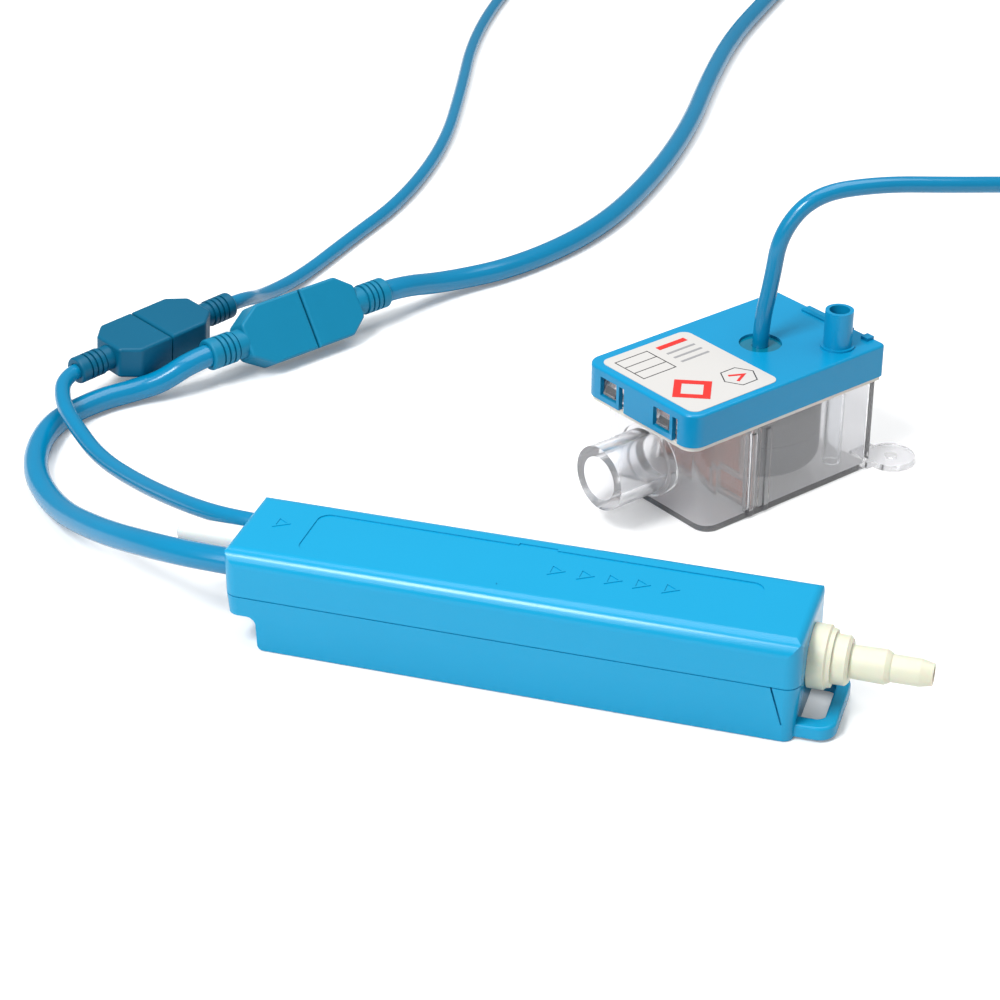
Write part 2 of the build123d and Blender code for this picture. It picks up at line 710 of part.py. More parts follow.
def tank_block(inset):
    """The tank's lower part: a block with a leaning front wall and rounded upright corners."""
    z1 = tank_step_z() + (2 * TANK_WALL if inset else 0)
    slope = TANK_FRONT_LEAN / tank_step_z()
    points = [
        (TANK_FRONT_X + TANK_FRONT_LEAN - slope * inset + inset, inset),
        (TANK_BACK_X - inset, inset),
        (TANK_BACK_X - inset, z1),
        (TANK_FRONT_X + TANK_FRONT_LEAN - slope * z1 + inset, z1),
    ]
    side = Plane.XZ * make_face(Polyline(*points, close=True))
    block = extrude(side, TANK_WIDTH / 2 - inset, both=True)
    upright = block.edges().filter_by(lambda edge: abs((edge % 0.5).Z) > 0.9).sort_by(Axis.X)
    block = fillet(upright[:2], TANK_CORNER_R - inset)
    upright = block.edges().filter_by(lambda edge: abs((edge % 0.5).Z) > 0.9).sort_by(Axis.X)
    return fillet(upright[-2:], 1.0)


def tank_step_z():
    return LID_TOP_Z - SKIRT_HEIGHT + 0.1


def rim_inner():
    return LID_LENGTH / 2 - SKIRT_WALL - LID_CLEARANCE


def rim_half():
    return LID_WIDTH / 2 - SKIRT_WALL - LID_CLEARANCE


def tank():
    step_z = tank_step_z()
    step_top = step_z + TANK_WALL
    rim_x = rim_inner()
    rim_y = rim_half()
    corner = LID_FRONT_R - SKIRT_WALL - LID_CLEARANCE
    body = tank_block(0)
    band = Pos(0, 0, step_z) * extrude(rounded_plan(-rim_x, rim_x, rim_y, corner, 1.0), TANK_RIM_Z - step_z)
    body += band
    hollow = tank_block(TANK_WALL)
    hollow += Pos(0, 0, step_top) * extrude(
        rounded_plan(-rim_x + TANK_WALL, rim_x - TANK_WALL, rim_y - TANK_WALL, corner - 1.0, 0.8), 20)
    spigot_root = TANK_FRONT_X + TANK_WALL / 2
    pipe = rod(INTAKE_END_X, spigot_root + 2.0, INTAKE_R, 0, INTAKE_Z)
    pipe += rod(TANK_FRONT_X - 1.6, spigot_root + 2.0, INTAKE_FLANGE_R, 0, INTAKE_Z)
    body += pipe
    for side in (-1, 1):
        wall_y = side * TANK_WIDTH / 2
        for x in RIB_POSITIONS:
            reach = abs(wall_y) + RIB_DEPTH
            body += slab(x - RIB_WIDTH / 2, x + RIB_WIDTH / 2, min(side * reach, side * (reach - 2)),
                         max(side * reach, side * (reach - 2)), 0.5, RIB_TOP_Z)
        body += foot_lug(side)
        for centre in WINDOW_CENTRES:
            if side > 0:
                body += catch_nub(centre)
    body -= hollow
    body -= rod(INTAKE_END_X - 1, TANK_FRONT_X + 8, INTAKE_BORE_R, 0, INTAKE_Z)
    for side in (-1, 1):
        body -= Pos(LUG_X, side * LUG_Y, -1) * extrude(Circle(LUG_HOLE_R), LUG_THICKNESS + 2)
    for side in (-1, 1):
        body += filter_guides(side)
    return reservoir_place() * body


def foot_lug(side):
    plate = Pos(LUG_X, side * LUG_Y) * Circle(LUG_R)
    plate += Pos((LUG_X + TANK_BACK_X) / 2 - 1, side * (LUG_Y - LUG_R / 2 - 1.5)) * Rectangle(
        LUG_X - TANK_BACK_X + 2, LUG_R + 3.0)
    plate -= Pos(0, side * (LUG_Y + 30.0 - 2.0)) * Rectangle(2 * (TANK_BACK_X + 0.4), 57.0)
    return extrude(plate, LUG_THICKNESS)


def catch_nub(centre):
    """Wedge on the tank's front rim that snaps into a window of the lid's skirt."""
    x0 = -rim_inner()
    z0 = LID_TOP_Z - SKIRT_HEIGHT + 2.4
    points = [(x0 + 0.5, z0), (x0 - 1.4, z0), (x0 - 1.4, z0 + 0.8), (x0 + 0.5, z0 + NUB_HEIGHT)]
    wedge = extrude(Plane.XZ * make_face(Polyline(*points, close=True)), NUB_WIDTH / 2, both=True)
    return Pos(0, -centre, 0) * wedge


def filter_guides(side):
    """Two ribs inside each long wall, with the filter frame between them."""
    half = TANK_WIDTH / 2 - TANK_WALL
    gap = FILTER_THICKNESS / 2 + FILTER_CLEARANCE
    guides = Part()
    for edge in (-1, 1):
        x = FILTER_X + edge * (gap + 0.6)
        y0 = side * (half + 0.3)
        y1 = side * (half - 1.4)
        guides += slab(x - 0.6, x + 0.6, min(y0, y1), max(y0, y1), TANK_WALL - 0.3, RIB_TOP_Z)
    return guides


def lid():
    half_x = LID_LENGTH / 2
    half_y = LID_WIDTH / 2
    skirt_z = LID_TOP_Z - SKIRT_HEIGHT
    body = Pos(0, 0, skirt_z) * extrude(rounded_plan(-half_x, half_x, half_y, LID_FRONT_R, LID_BACK_R), SKIRT_HEIGHT)
    body = fillet(body.edges().group_by(Axis.Z)[-1], 0.9)
    inner = rounded_plan(-half_x + SKIRT_WALL, half_x - SKIRT_WALL, half_y - SKIRT_WALL,
                         LID_FRONT_R - SKIRT_WALL, 1.0)
    body -= Pos(0, 0, skirt_z - 1) * extrude(inner, SKIRT_HEIGHT - LID_THICKNESS + 1)
    window_z0 = skirt_z + 1.7
    window_z1 = LID_TOP_Z - WINDOW_TOP_GAP - 0.6
    for centre in WINDOW_CENTRES:
        half = WINDOW_WIDTH / 2
        body -= slab(-half_x - 1, -half_x + SKIRT_WALL + 0.4, -centre - half, -centre + half, window_z0, window_z1)
        slot_y = -(centre + SLOT_OFFSET)
        body -= slab(-half_x - 1, -half_x + SKIRT_WALL + 0.4, slot_y - SLOT_WIDTH / 2, slot_y + SLOT_WIDTH / 2,
                     skirt_z - 1, window_z1)
    body -= Pos(CABLE_PORT_X, 0, LID_TOP_Z - LID_THICKNESS - 1) * extrude(Circle(CABLE_PORT_R), LID_THICKNESS + 2)
    base = Pos(SPIGOT_X, SPIGOT_Y, LID_TOP_Z - 0.5)
    body += base * extrude(Circle(SPIGOT_R + 0.9), 1.1)
    body += base * extrude(Circle(SPIGOT_R), SPIGOT_HEIGHT + 0.5)
    body -= Pos(SPIGOT_X, SPIGOT_Y, LID_TOP_Z - LID_THICKNESS - 1) * extrude(Circle(SPIGOT_BORE_R), SPIGOT_HEIGHT + 4)
    pad = slab(half_x - 4.0, half_x - 0.6, -11.0, 8.5, LID_TOP_Z - 0.4, LID_TOP_Z + 1.2)
    body += chamfer(pad.edges().group_by(Axis.Z)[-1], 0.7)
    body += slab(half_x - 3.4, half_x - 0.6, -19.4, -16.6, LID_TOP_Z - 0.4, LID_TOP_Z + 1.0)
    return reservoir_place() * body


def lid_gasket():
    z1 = LID_TOP_Z - SKIRT_HEIGHT - 0.02
    outer = rounded_plan(-LID_LENGTH / 2 + GASKET_OVERHANG, LID_LENGTH / 2 - GASKET_OVERHANG,
                         LID_WIDTH / 2 - GASKET_OVERHANG, LID_FRONT_R - GASKET_OVERHANG, 1.0)
    inner = rounded_plan(TANK_FRONT_X - 0.12, TANK_BACK_X + 0.12, TANK_WIDTH / 2 + 0.12, TANK_CORNER_R, 1.1)
    return reservoir_place() * Pos(0, 0, z1 - GASKET_THICKNESS) * extrude(outer - inner, GASKET_THICKNESS)


def stem_head_z():
    return LID_TOP_Z - LID_THICKNESS - 0.1


def sensor_stem():
    """Hollow stem for the float, hung from the lid by its flange."""
    top = stem_head_z()
    stem = Pos(CABLE_PORT_X, 0, STEM_FOOT_Z) * extrude(Circle(STEM_R), top - STEM_FOOT_Z)
    stem += Pos(CABLE_PORT_X, 0, top - 1.6) * extrude(Circle(CABLE_PORT_R + 2.5), 1.6)
    groove_z = FLOAT_BASE_Z - 0.1 - CLIP_THICKNESS
    ring = Circle(STEM_R + 1) - Circle(STEM_R - 0.7)
    stem -= Pos(CABLE_PORT_X, 0, groove_z - 0.02) * extrude(ring, CLIP_THICKNESS + 0.04)
    return reservoir_place() * stem


def stem_clip():
    z0 = FLOAT_BASE_Z - 0.1 - CLIP_THICKNESS
    ring = Circle(CLIP_R) - Circle(STEM_R - 0.65) - Pos(-CLIP_R, 0) * Rectangle(2 * CLIP_R, 2.6)
    return reservoir_place() * Pos(CABLE_PORT_X, 0, z0) * extrude(ring, CLIP_THICKNESS)


def cable_grommet():
    """Glossy bush in the lid's cable port, with the cable's seat in it."""
    z0 = LID_TOP_Z - LID_THICKNESS - 0.05
    body = extrude(Circle(CABLE_PORT_R - 0.1), 1.2)
    body -= Pos(0, 0, 0.5) * extrude(Circle(SENSOR_CABLE_R + SEAT_CLEARANCE), 2)
    return reservoir_place() * Pos(CABLE_PORT_X, 0, z0) * body


def float_body():
    cylinder = extrude(Circle(FLOAT_R), FLOAT_HEIGHT)
    cylinder = fillet(cylinder.edges().filter_by(GeomType.CIRCLE), FLOAT_EDGE_R)
    cylinder -= Pos(0, 0, FLOAT_HEIGHT / 2 - 0.15) * extrude(Circle(FLOAT_R + 1) - Circle(FLOAT_R - 0.25), 0.3)
    cylinder -= Pos(0, 0, -1) * extrude(Circle(STEM_R + STEM_CLEARANCE), FLOAT_HEIGHT + 2)
    cylinder -= Pos(0, 0, -1) * extrude(Circle(MAGNET_R + 0.05), MAGNET_THICKNESS + 3)
    return reservoir_place() * Pos(CABLE_PORT_X, 0, FLOAT_BASE_Z) * cylinder


def float_magnet():
    ring = extrude(Circle(MAGNET_R) - Circle(STEM_R + STEM_CLEARANCE + 0.3), MAGNET_THICKNESS)
    return reservoir_place() * Pos(CABLE_PORT_X, 0, FLOAT_BASE_Z + 1.98) * ring


def filter_outline(inset):
    """Front view of the filter panel: full width above, stepped in at the inlet's side below."""
    half = TANK_WIDTH / 2 - TANK_WALL - FILTER_CLEARANCE - inset
    z0 = TANK_WALL + FILTER_CLEARANCE + inset
    z1 = LID_TOP_Z - SKIRT_HEIGHT - 2.0 - inset
    return [(-half, z0), (half, z0), (half, z1), (-half, z1)]


def filter_frame():
    outer = make_face(Polyline(*filter_outline(0), close=True))
    window = make_face(Polyline(*filter_outline(FILTER_BORDER), close=True))
    bar = Pos(-6.5, 5.0) * Rectangle(1.6, 10) + Pos(-14.0, 11.0) * Rectangle(13.4, 1.6)
    bar += Pos(-17.0, 18.0) * Rectangle(1.6, 14.0)
    frame = outer - window + (bar & outer)
    panel = extrude(Plane.YZ.offset(FILTER_X) * frame, FILTER_THICKNESS / 2, both=True)
    return reservoir_place() * panel - filter_mesh_solid(0.05)


def filter_mesh_solid(grow):
    half = TANK_WIDTH / 2 - TANK_WALL - FILTER_CLEARANCE - FILTER_BORDER * 0.45 + grow
    z0 = TANK_WALL + FILTER_CLEARANCE + FILTER_BORDER * 0.45 - grow
    z1 = LID_TOP_Z - SKIRT_HEIGHT - 2.0 - FILTER_BORDER * 0.45 + grow
    t = MESH_THICKNESS / 2 + grow
    return reservoir_place() * slab(FILTER_X - t, FILTER_X + t, -half, half, z0, z1)


def suction_tube():
    top = LID_TOP_Z + 3.0
    ring = Circle(SUCTION_R) - Circle(SUCTION_R - SUCTION_WALL)
    tube_part = Pos(SPIGOT_X, SPIGOT_Y, TANK_WALL + 1.5) * extrude(ring, top - TANK_WALL - 1.5)
    return reservoir_place() * tube_part


def label_plate():
    plan = RectangleRounded(LABEL_LENGTH, LABEL_WIDTH, LABEL_CORNER_R)
    return reservoir_place() * Pos(LABEL_X, LABEL_Y, LID_TOP_Z) * extrude(plan, LABEL_THICKNESS)


# ----------------------------------------------------------------------------- free cables
def arc_radii(points):
    """Largest arcs that two neighbouring runs allow: 0.45 of the shorter run over tan(half the turn)."""
    radii = []
    for before, here, after in zip(points, points[1:], points[2:]):
        a = Vector(*here) - Vector(*before)
        b = Vector(*after) - Vector(*here)
        turn = math.radians(a.get_angle(b))
        radii.append(0.45 * min(a.length, b.length) / math.tan(turn / 2))
    return radii


def cable(name, points, radius):
    radii = arc_radii(points)
    path = FilletPolyline(*points, radius=radii)
    solid = sweep(Plane(path @ 0, z_dir=path % 0) * Circle(radius), path=path)
    expected = math.pi * radius ** 2 * path.length
    low = solid.bounding_box().min.Z
    print(f"{name}: length {path.length:.1f}, smallest radius {min(radii):.1f}, "
          f"volume ratio {solid.volume / expected:.4f}, lowest {low:.2f}")
    return solid


def plug_point(centre, heading, tilt, along):
    """A point on a connector's own axis, as a plain tuple."""
    spot = plug_place(centre, heading, tilt) * Pos(along, 0, 0)
    return tuple(spot.position)


def mains_pigtail_points():
    end = relief_end(MAINS_SOCKET_HALF)
    seat = plug_point(MAINS_PLUG_CENTRE, MAINS_PLUG_HEADING, MAINS_PLUG_TILT, -end + CABLE_SEAT)
    lead_in = plug_point(MAINS_PLUG_CENTRE, MAINS_PLUG_HEADING, MAINS_PLUG_TILT, -end - 6)
    return [
        (anchor_seat_x(), MAINS_EXIT_Y, MAINS_EXIT_Z),
        (-88.0, MAINS_EXIT_Y, MAINS_EXIT_Z),
        (-104.5, -3.8, 19.8),
        (-129.7, 11.5, 11.9),
        (-154.5, 32.0, 3.9),
        (-172.5, 53.0, 3.8),
        (-179.5, 79.5, 3.8),
        (-171.5, 100.0, 3.8),
        (-158.0, 112.0, 4.3),
        lead_in,
        seat,
    ]


def sensor_pigtail_points():
    end = relief_end(SENSOR_SOCKET_HALF)
    seat = plug_point(SENSOR_PLUG_CENTRE, SENSOR_PLUG_HEADING, SENSOR_PLUG_TILT, -end + CABLE_SEAT)
    lead_in = plug_point(SENSOR_PLUG_CENTRE, SENSOR_PLUG_HEADING, SENSOR_PLUG_TILT, -end - 5)
    return [
        (anchor_seat_x(), SENSOR_EXIT_Y, SENSOR_EXIT_Z),
        (-87.0, SENSOR_EXIT_Y, SENSOR_EXIT_Z),
        (-103.0, 17.4, 21.4),
        (-128.0, 37.5, 13.5),
        (-150.0, 55.5, 9.0),
        (-164.5, 69.5, 10.2),
        (-174.5, 80.5, 12.2),
        lead_in,
        seat,
    ]


def sensor_lead_points():
    """From the small plug away over the floor, round the far side, to the coil beyond the reservoir."""
    end = relief_end(SENSOR_PLUG_HALF)
    seat = plug_point(SENSOR_PLUG_CENTRE, SENSOR_PLUG_HEADING, SENSOR_PLUG_TILT, end - CABLE_SEAT)
    lead_out = plug_point(SENSOR_PLUG_CENTRE, SENSOR_PLUG_HEADING, SENSOR_PLUG_TILT, end + 6)
    return [
        seat,
        lead_out,
        (-148.5, 183.0, 5.6),
        (-143.8, 208.0, 2.6),
        (-139.0, 241.0, 2.6),
        (-132.0, 283.0, 2.6),
        (-134.0, 338.0, 2.6),
        (-146.0, 396.0, 2.6),
        (-160.0, 455.0, 2.6),
        (-166.0, 515.0, 2.6),
        (-165.0, 575.0, 2.6),
        (-152.0, 630.0, 2.6),
        (-101.0, 667.0, 2.6),
        (-38.0, 676.0, 2.6),
        (25.0, 662.0, 2.6),
        (80.0, 622.0, 2.6),
        (118.0, 573.0, 2.6),
        (133.0, 512.0, 2.6),
        (130.0, 452.0, 2.6),
        (120.0, 396.0, 2.6),
        (LEAD_COIL_CENTRE[0] - LEAD_COIL_R, 352.0, 2.6),
        (LEAD_COIL_CENTRE[0] - LEAD_COIL_R, LEAD_COIL_CENTRE[1] + LEAD_COIL_ENTRY, 2.6),
    ]


def reservoir_lead_points():
    """From the lid's grommet up, over in an arch and down to the coil."""
    top = LID_TOP_Z - LID_THICKNESS - 0.05 + 0.5
    foot = (reservoir_place() * Pos(CABLE_PORT_X, 0, top)).position
    return [
        (foot.X, foot.Y, foot.Z),
        (foot.X, foot.Y, 49.0),
        (38.9, 128.0, 62.0),
        (40.5, 129.2, 77.5),
        (49.0, 134.8, 88.5),
        (66.0, 145.5, 89.5),
        (86.0, 158.5, 86.5),
        (106.0, 175.0, 82.5),
        (125.0, 194.0, 74.0),
        (137.0, 212.0, 58.0),
        (139.5, 229.0, 38.0),
        (132.0, 246.0, 20.0),
        (LEAD_COIL_CENTRE[0] - LEAD_COIL_R + 6.0, 262.0, 10.0),
        (LEAD_COIL_CENTRE[0] - LEAD_COIL_R, LEAD_COIL_CENTRE[1] - LEAD_COIL_ENTRY, 7.6),
    ]


def mains_lead_points():
    end = relief_end(MAINS_PLUG_HALF)
    seat = plug_point(MAINS_PLUG_CENTRE, MAINS_PLUG_HEADING, MAINS_PLUG_TILT, end - CABLE_SEAT)
    lead_out = plug_point(MAINS_PLUG_CENTRE, MAINS_PLUG_HEADING, MAINS_PLUG_TILT, end + 7)
    return [
        seat,
        lead_out,
        (-92.0, 213.5, 5.2),
        (-72.0, 237.0, 3.9),
        (-54.0, 276.0, 3.9),
        (-47.0, 326.0, 3.9),
        (-46.0, 382.0, 3.9),
        (-51.0, 438.0, 3.9),
        (-53.0, 490.0, 3.9),
        (MAINS_COIL_CENTRE[0] + MAINS_COIL_R, 542.0, 3.9),
        (MAINS_COIL_CENTRE[0] + MAINS_COIL_R, MAINS_COIL_CENTRE[1] - MAINS_COIL_ENTRY, 3.9),
    ]


def coil_ring(centre, mean_r, cable_r, wide):
    """Closed ring that stands for a coil's turns."""
    half_w = cable_r * wide
    height = cable_r * 2 * COIL_LAYERS
    section = Plane.XZ * Pos(mean_r, height / 2) * RectangleRounded(2 * half_w, height, cable_r * 0.8)
    return Pos(centre[0], centre[1], 0.02) * revolve(section, Axis.Z)


def bare_cores():
    """Three stripped cores that stand out of the mains coil's inner end."""
    cores = Part()
    x, y = MAINS_COIL_CENTRE
    start = y + MAINS_COIL_R - MAINS_CABLE_R * MAINS_COIL_WIDE - 0.25
    for k in (-1, 0, 1):
        spot = Location((x + 2.4 * k, start, MAINS_CABLE_R), (90, 0, 4.0 * k))
        cores += spot * extrude(Circle(CORE_R), CORE_LENGTH)
    return cores


def build_nodes():
    mains = (MAINS_PLUG_WIDTH, MAINS_PLUG_HEIGHT, MAINS_RELIEF_R, MAINS_CABLE_R)
    sensor = (SENSOR_PLUG_WIDTH, SENSOR_PLUG_HEIGHT, SENSOR_RELIEF_R, SENSOR_CABLE_R)
    mains_spot = plug_place(MAINS_PLUG_CENTRE, MAINS_PLUG_HEADING, MAINS_PLUG_TILT)
    sensor_spot = plug_place(SENSOR_PLUG_CENTRE, SENSOR_PLUG_HEADING, SENSOR_PLUG_TILT)
    spring_r = SLEEVE_BORE_R - SPRING_WIRE_R - 0.3
    rear_x0 = SLEEVE_X0 + SPRING_GAP
    rear_x1 = piston_x0() - SPRING_GAP
    front_x0 = piston_x0() + PISTON_LENGTH + SPRING_GAP
    front_x1 = outlet_seat_x() - HEAD_WALL - SPRING_GAP
    valve_x0 = outlet_seat_x() + 0.05 + VALVE_THICKNESS + SPRING_GAP
    valve_x1 = nozzle_chamber_end() - SPRING_GAP
    mount_in, mount_out = mount_places()
    return {
        "lower_shell": lower_shell(),
        "upper_shell": upper_shell(),
        "outlet_nozzle": outlet_nozzle(),
        "outlet_head": outlet_head(),
        "outlet_valve": outlet_valve(),
        "inlet_head": inlet_head(),
        "piston_sleeve": sleeve(),
        "piston": piston(),
        "inlet_valve": inlet_valve(),
        "valve_retainer": valve_retainer(),
        "rear_spring": helix_spring(rear_x0, rear_x1, spring_r, SPRING_WIRE_R, SPRING_COILS),
        "front_spring": helix_spring(front_x0, front_x1, spring_r, SPRING_WIRE_R, SPRING_COILS),
        "outlet_valve_spring": helix_spring(valve_x0, valve_x1, VALVE_SPRING_R, VALVE_WIRE_R, SPRING_COILS),
        "coil_bobbin": coil_bobbin(),
        "coil_winding": coil_winding(),
        "coil_yoke": yoke(),
        "rear_rubber_mount": rubber_mount(mount_in),
        "front_rubber_mount": rubber_mount(mount_out),
        "nozzle_o_ring": o_ring(nozzle_tail() + 2.0, VALVE_CHAMBER_R + 1.0 + SLEEVE_FIT - 2 * O_RING_R),
        "inlet_barb": inlet_barb(),
        "inlet_hose": inlet_hose(),
        "mains_cable_anchor": cable_anchor(MAINS_EXIT_Y, MAINS_EXIT_Z, MAINS_CABLE_R),
        "sensor_cable_anchor": cable_anchor(SENSOR_EXIT_Y, SENSOR_EXIT_Z, SENSOR_CABLE_R),
        "control_board": control_board(),
        "board_capacitor": capacitor(),
        "board_triac": triac(),
        "board_controller": controller_chip(),
        "board_terminals": terminal_block(),
        "mains_socket": mains_spot * plug_half(MAINS_SOCKET_HALF, *mains, side=-1),
        "mains_plug": mains_spot * plug_half(MAINS_PLUG_HALF, *mains, side=1),
        "mains_contacts": mains_spot * contact_set(MAINS_PLUG_WIDTH, MAINS_PLUG_HEIGHT),
        "sensor_socket": sensor_spot * plug_half(SENSOR_SOCKET_HALF, *sensor, side=-1),
        "sensor_plug": sensor_spot * plug_half(SENSOR_PLUG_HALF, *sensor, side=1),
        "sensor_contacts": sensor_spot * contact_set(SENSOR_PLUG_WIDTH, SENSOR_PLUG_HEIGHT),
        "tank": tank(),
        "lid": lid(),
        "lid_gasket": lid_gasket(),
        "sensor_stem": sensor_stem(),
        "stem_clip": stem_clip(),
        "cable_grommet": cable_grommet(),
        "float_body": float_body(),
        "float_magnet": float_magnet(),
        "filter_frame": filter_frame(),
        "filter_mesh": filter_mesh_solid(0),
        "suction_tube": suction_tube(),
        "lid_label": label_plate(),
        "mains_pigtail": cable("mains_pigtail", mains_pigtail_points(), MAINS_CABLE_R),
        "sensor_pigtail": cable("sensor_pigtail", sensor_pigtail_points(), SENSOR_CABLE_R),
        "sensor_lead": cable("sensor_lead", sensor_lead_points(), SENSOR_CABLE_R),
        "reservoir_lead": cable("reservoir_lead", reservoir_lead_points(), SENSOR_CABLE_R),
        "mains_lead": cable("mains_lead", mains_lead_points(), MAINS_CABLE_R),
        "sensor_coil": coil_ring(LEAD_COIL_CENTRE, LEAD_COIL_R, SENSOR_CABLE_R, LEAD_COIL_WIDE),
        "mains_coil": coil_ring(MAINS_COIL_CENTRE, MAINS_COIL_R, MAINS_CABLE_R, MAINS_COIL_WIDE),
        "mains_cores": bare_cores(),
    }


def main():
    os.makedirs(OUT, exist_ok=True)
    for name, shape in build_nodes().items():
        export_step(shape, os.path.join(OUT, name + ".step"))


if __name__ == "__main__":
    main()
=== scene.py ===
"""Condensate pump and float reservoir: finishes, cords, printed label and small moulded details.

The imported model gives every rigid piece.  This script dresses those pieces, lays the cords on the
floor, and adds the fine work that is only looks.  Lengths are in metres, in the row frame: origin
on the pump's base, +X along the flow, +Z up.
"""

import logging
import math
from dataclasses import dataclass
from enum import Enum
from typing import Iterable, Sequence

import bpy
import numpy as np
from mathutils import Matrix, Vector


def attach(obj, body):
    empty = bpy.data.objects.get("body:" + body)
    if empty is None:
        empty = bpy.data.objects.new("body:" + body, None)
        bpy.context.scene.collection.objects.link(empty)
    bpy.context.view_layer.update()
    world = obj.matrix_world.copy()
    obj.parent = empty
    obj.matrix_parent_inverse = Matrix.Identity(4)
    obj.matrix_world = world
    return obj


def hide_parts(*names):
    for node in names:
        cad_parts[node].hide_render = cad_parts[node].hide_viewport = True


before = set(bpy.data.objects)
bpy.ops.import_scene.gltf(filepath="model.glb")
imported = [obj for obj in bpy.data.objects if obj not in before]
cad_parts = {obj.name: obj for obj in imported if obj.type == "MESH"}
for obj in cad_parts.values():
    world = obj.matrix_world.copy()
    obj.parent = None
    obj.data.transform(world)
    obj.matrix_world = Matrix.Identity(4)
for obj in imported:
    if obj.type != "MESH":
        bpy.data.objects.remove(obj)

LOG = logging.getLogger("condensate_pump")
MM = 0.001
BODY = "base"

Colour = tuple[float, float, float]
Point = tuple[float, float, float]
Plan = tuple[float, float]
Figure = tuple[np.ndarray, list]


# ------------------------------------------------------------------------------ small helpers
def link(name: str, data: bpy.types.ID) -> bpy.types.Object:
    """Make an object from mesh or curve data and link it to the scene.

    Args:
        name: the piece's name.
        data: its mesh or curve.

    Returns:
        The new object, at the origin.
    """
    piece = bpy.data.objects.new(name, data)
    bpy.context.scene.collection.objects.link(piece)
    return piece


def mesh_piece(
    name: str, points: np.ndarray, faces: Sequence[Sequence[int]], smooth: bool = True
) -> bpy.types.Object:
    """Make a piece from an array of points and a list of faces.

    Args:
        name: the piece's name.
        points: n by 3 array, in metres in the row frame.
        faces: corner numbers of each face, outward side by the right-hand rule.
        smooth: whether faces are shaded smooth.

    Returns:
        The new object.
    """
    mesh = bpy.data.meshes.new(name)
    mesh.from_pydata(np.asarray(points, dtype=float).tolist(), [], [list(face) for face in faces])
    mesh.polygons.foreach_set("use_smooth", np.full(len(mesh.polygons), smooth))
    mesh.update()
    return link(name, mesh)


def ring_faces(rings: int, around: int) -> list[list[int]]:
    """Quads between closed rings of points, numbered ring by ring.

    Args:
        rings: number of rings.
        around: number of points in a ring.

    Returns:
        A list of quads.
    """
    r, c = np.meshgrid(np.arange(rings - 1), np.arange(around), indexing="ij")
    r1 = r + 1
    c1 = (c + 1) % around
    quads = np.stack([r * around + c, r * around + c1, r1 * around + c1, r1 * around + c], axis=-1)
    return quads.reshape(-1, 4).tolist()


def placed(points: np.ndarray, yaw: float, origin: Plan) -> np.ndarray:
    """Turn points about Z and move them in plan: origin + rotation by the yaw, heights kept.

    Args:
        points: n by 3 array.
        yaw: the turn, in degrees.
        origin: where the points' own origin goes.

    Returns:
        n by 3 array.
    """
    angle = math.radians(yaw)
    turn = np.array([[math.cos(angle), -math.sin(angle)], [math.sin(angle), math.cos(angle)]])
    result = np.array(points, dtype=float)
    result[:, :2] = result[:, :2] @ turn.T + np.array(origin)
    return result


def boxes_mesh(centres: np.ndarray, halves: np.ndarray) -> Figure:
    """Many boxes as one set of points and faces: corner = centre + sign times half size.

    Args:
        centres: n by 3 box centres.
        halves: n by 3 half sizes.

    Returns:
        All points and all faces.
    """
    signs = np.array([[x, y, z] for z in (-1, 1) for y in (-1, 1) for x in (-1, 1)], dtype=float)
    points = (centres[:, None, :] + signs[None, :, :] * halves[:, None, :]).reshape(-1, 3)
    one = np.array([[0, 2, 3, 1], [4, 5, 7, 6], [0, 1, 5, 4], [2, 6, 7, 3], [0, 4, 6, 2], [1, 3, 7, 5]])
    faces = (one[None, :, :] + 8 * np.arange(len(centres))[:, None, None]).reshape(-1, 4)
    return points, faces.tolist()


def stroke(points: Sequence[Plan], width: float, closed: bool = False) -> Figure:
    """A flat line of one width through plan points, mitred at its corners.

    Each point moves half the width along the mitre direction, which is the sum of the two runs'
    normals scaled by one over one plus their dot product.

    Args:
        points: plan points (x, y).
        width: the line's width.
        closed: whether the last point joins the first.

    Returns:
        Plan points, left and right side by turns, and faces between them.
    """
    path = np.asarray(points, dtype=float)
    runs = np.roll(path, -1, axis=0) - path
    runs /= np.maximum(np.linalg.norm(runs, axis=1, keepdims=True), 1e-12)
    normals = np.stack([-runs[:, 1], runs[:, 0]], axis=1)
    before = np.roll(normals, 1, axis=0)
    if not closed:
        normals[-1] = normals[-2]
        before[0] = normals[0]
        before[-1] = normals[-2]
    mitre = (normals + before) / (1.0 + np.sum(normals * before, axis=1, keepdims=True))
    sides = np.stack([path + mitre * width / 2, path - mitre * width / 2], axis=1).reshape(-1, 2)
    count = len(path)
    spans = count if closed else count - 1
    faces = [[2 * k, 2 * k + 1, 2 * ((k + 1) % count) + 1, 2 * ((k + 1) % count)] for k in range(spans)]
    return sides, faces


def raised(plan: np.ndarray, faces: list, low: float, high: float) -> Figure:
    """Turn a flat figure into a thin raised one: top copy, bottom copy and walls on open edges.

    Args:
        plan: plan points.
        faces: faces of the figure, anticlockwise seen from above.
        low: height of its underside.
        high: height of its top.

    Returns:
        Points and faces of the closed solid.
    """
    count = len(plan)
    top = np.column_stack([plan, np.full(count, high)])
    bottom = np.column_stack([plan, np.full(count, low)])
    solid = [list(face) for face in faces] + [[corner + count for corner in reversed(face)] for face in faces]
    edges: dict[tuple[int, int], int] = {}
    for face in faces:
        for a, b in zip(face, face[1:] + face[:1]):
            edges[(a, b)] = edges.get((a, b), 0) + 1
    for a, b in edges:
        if (b, a) not in edges:
            solid.append([b, a, a + count, b + count])
    return np.vstack([top, bottom]), solid


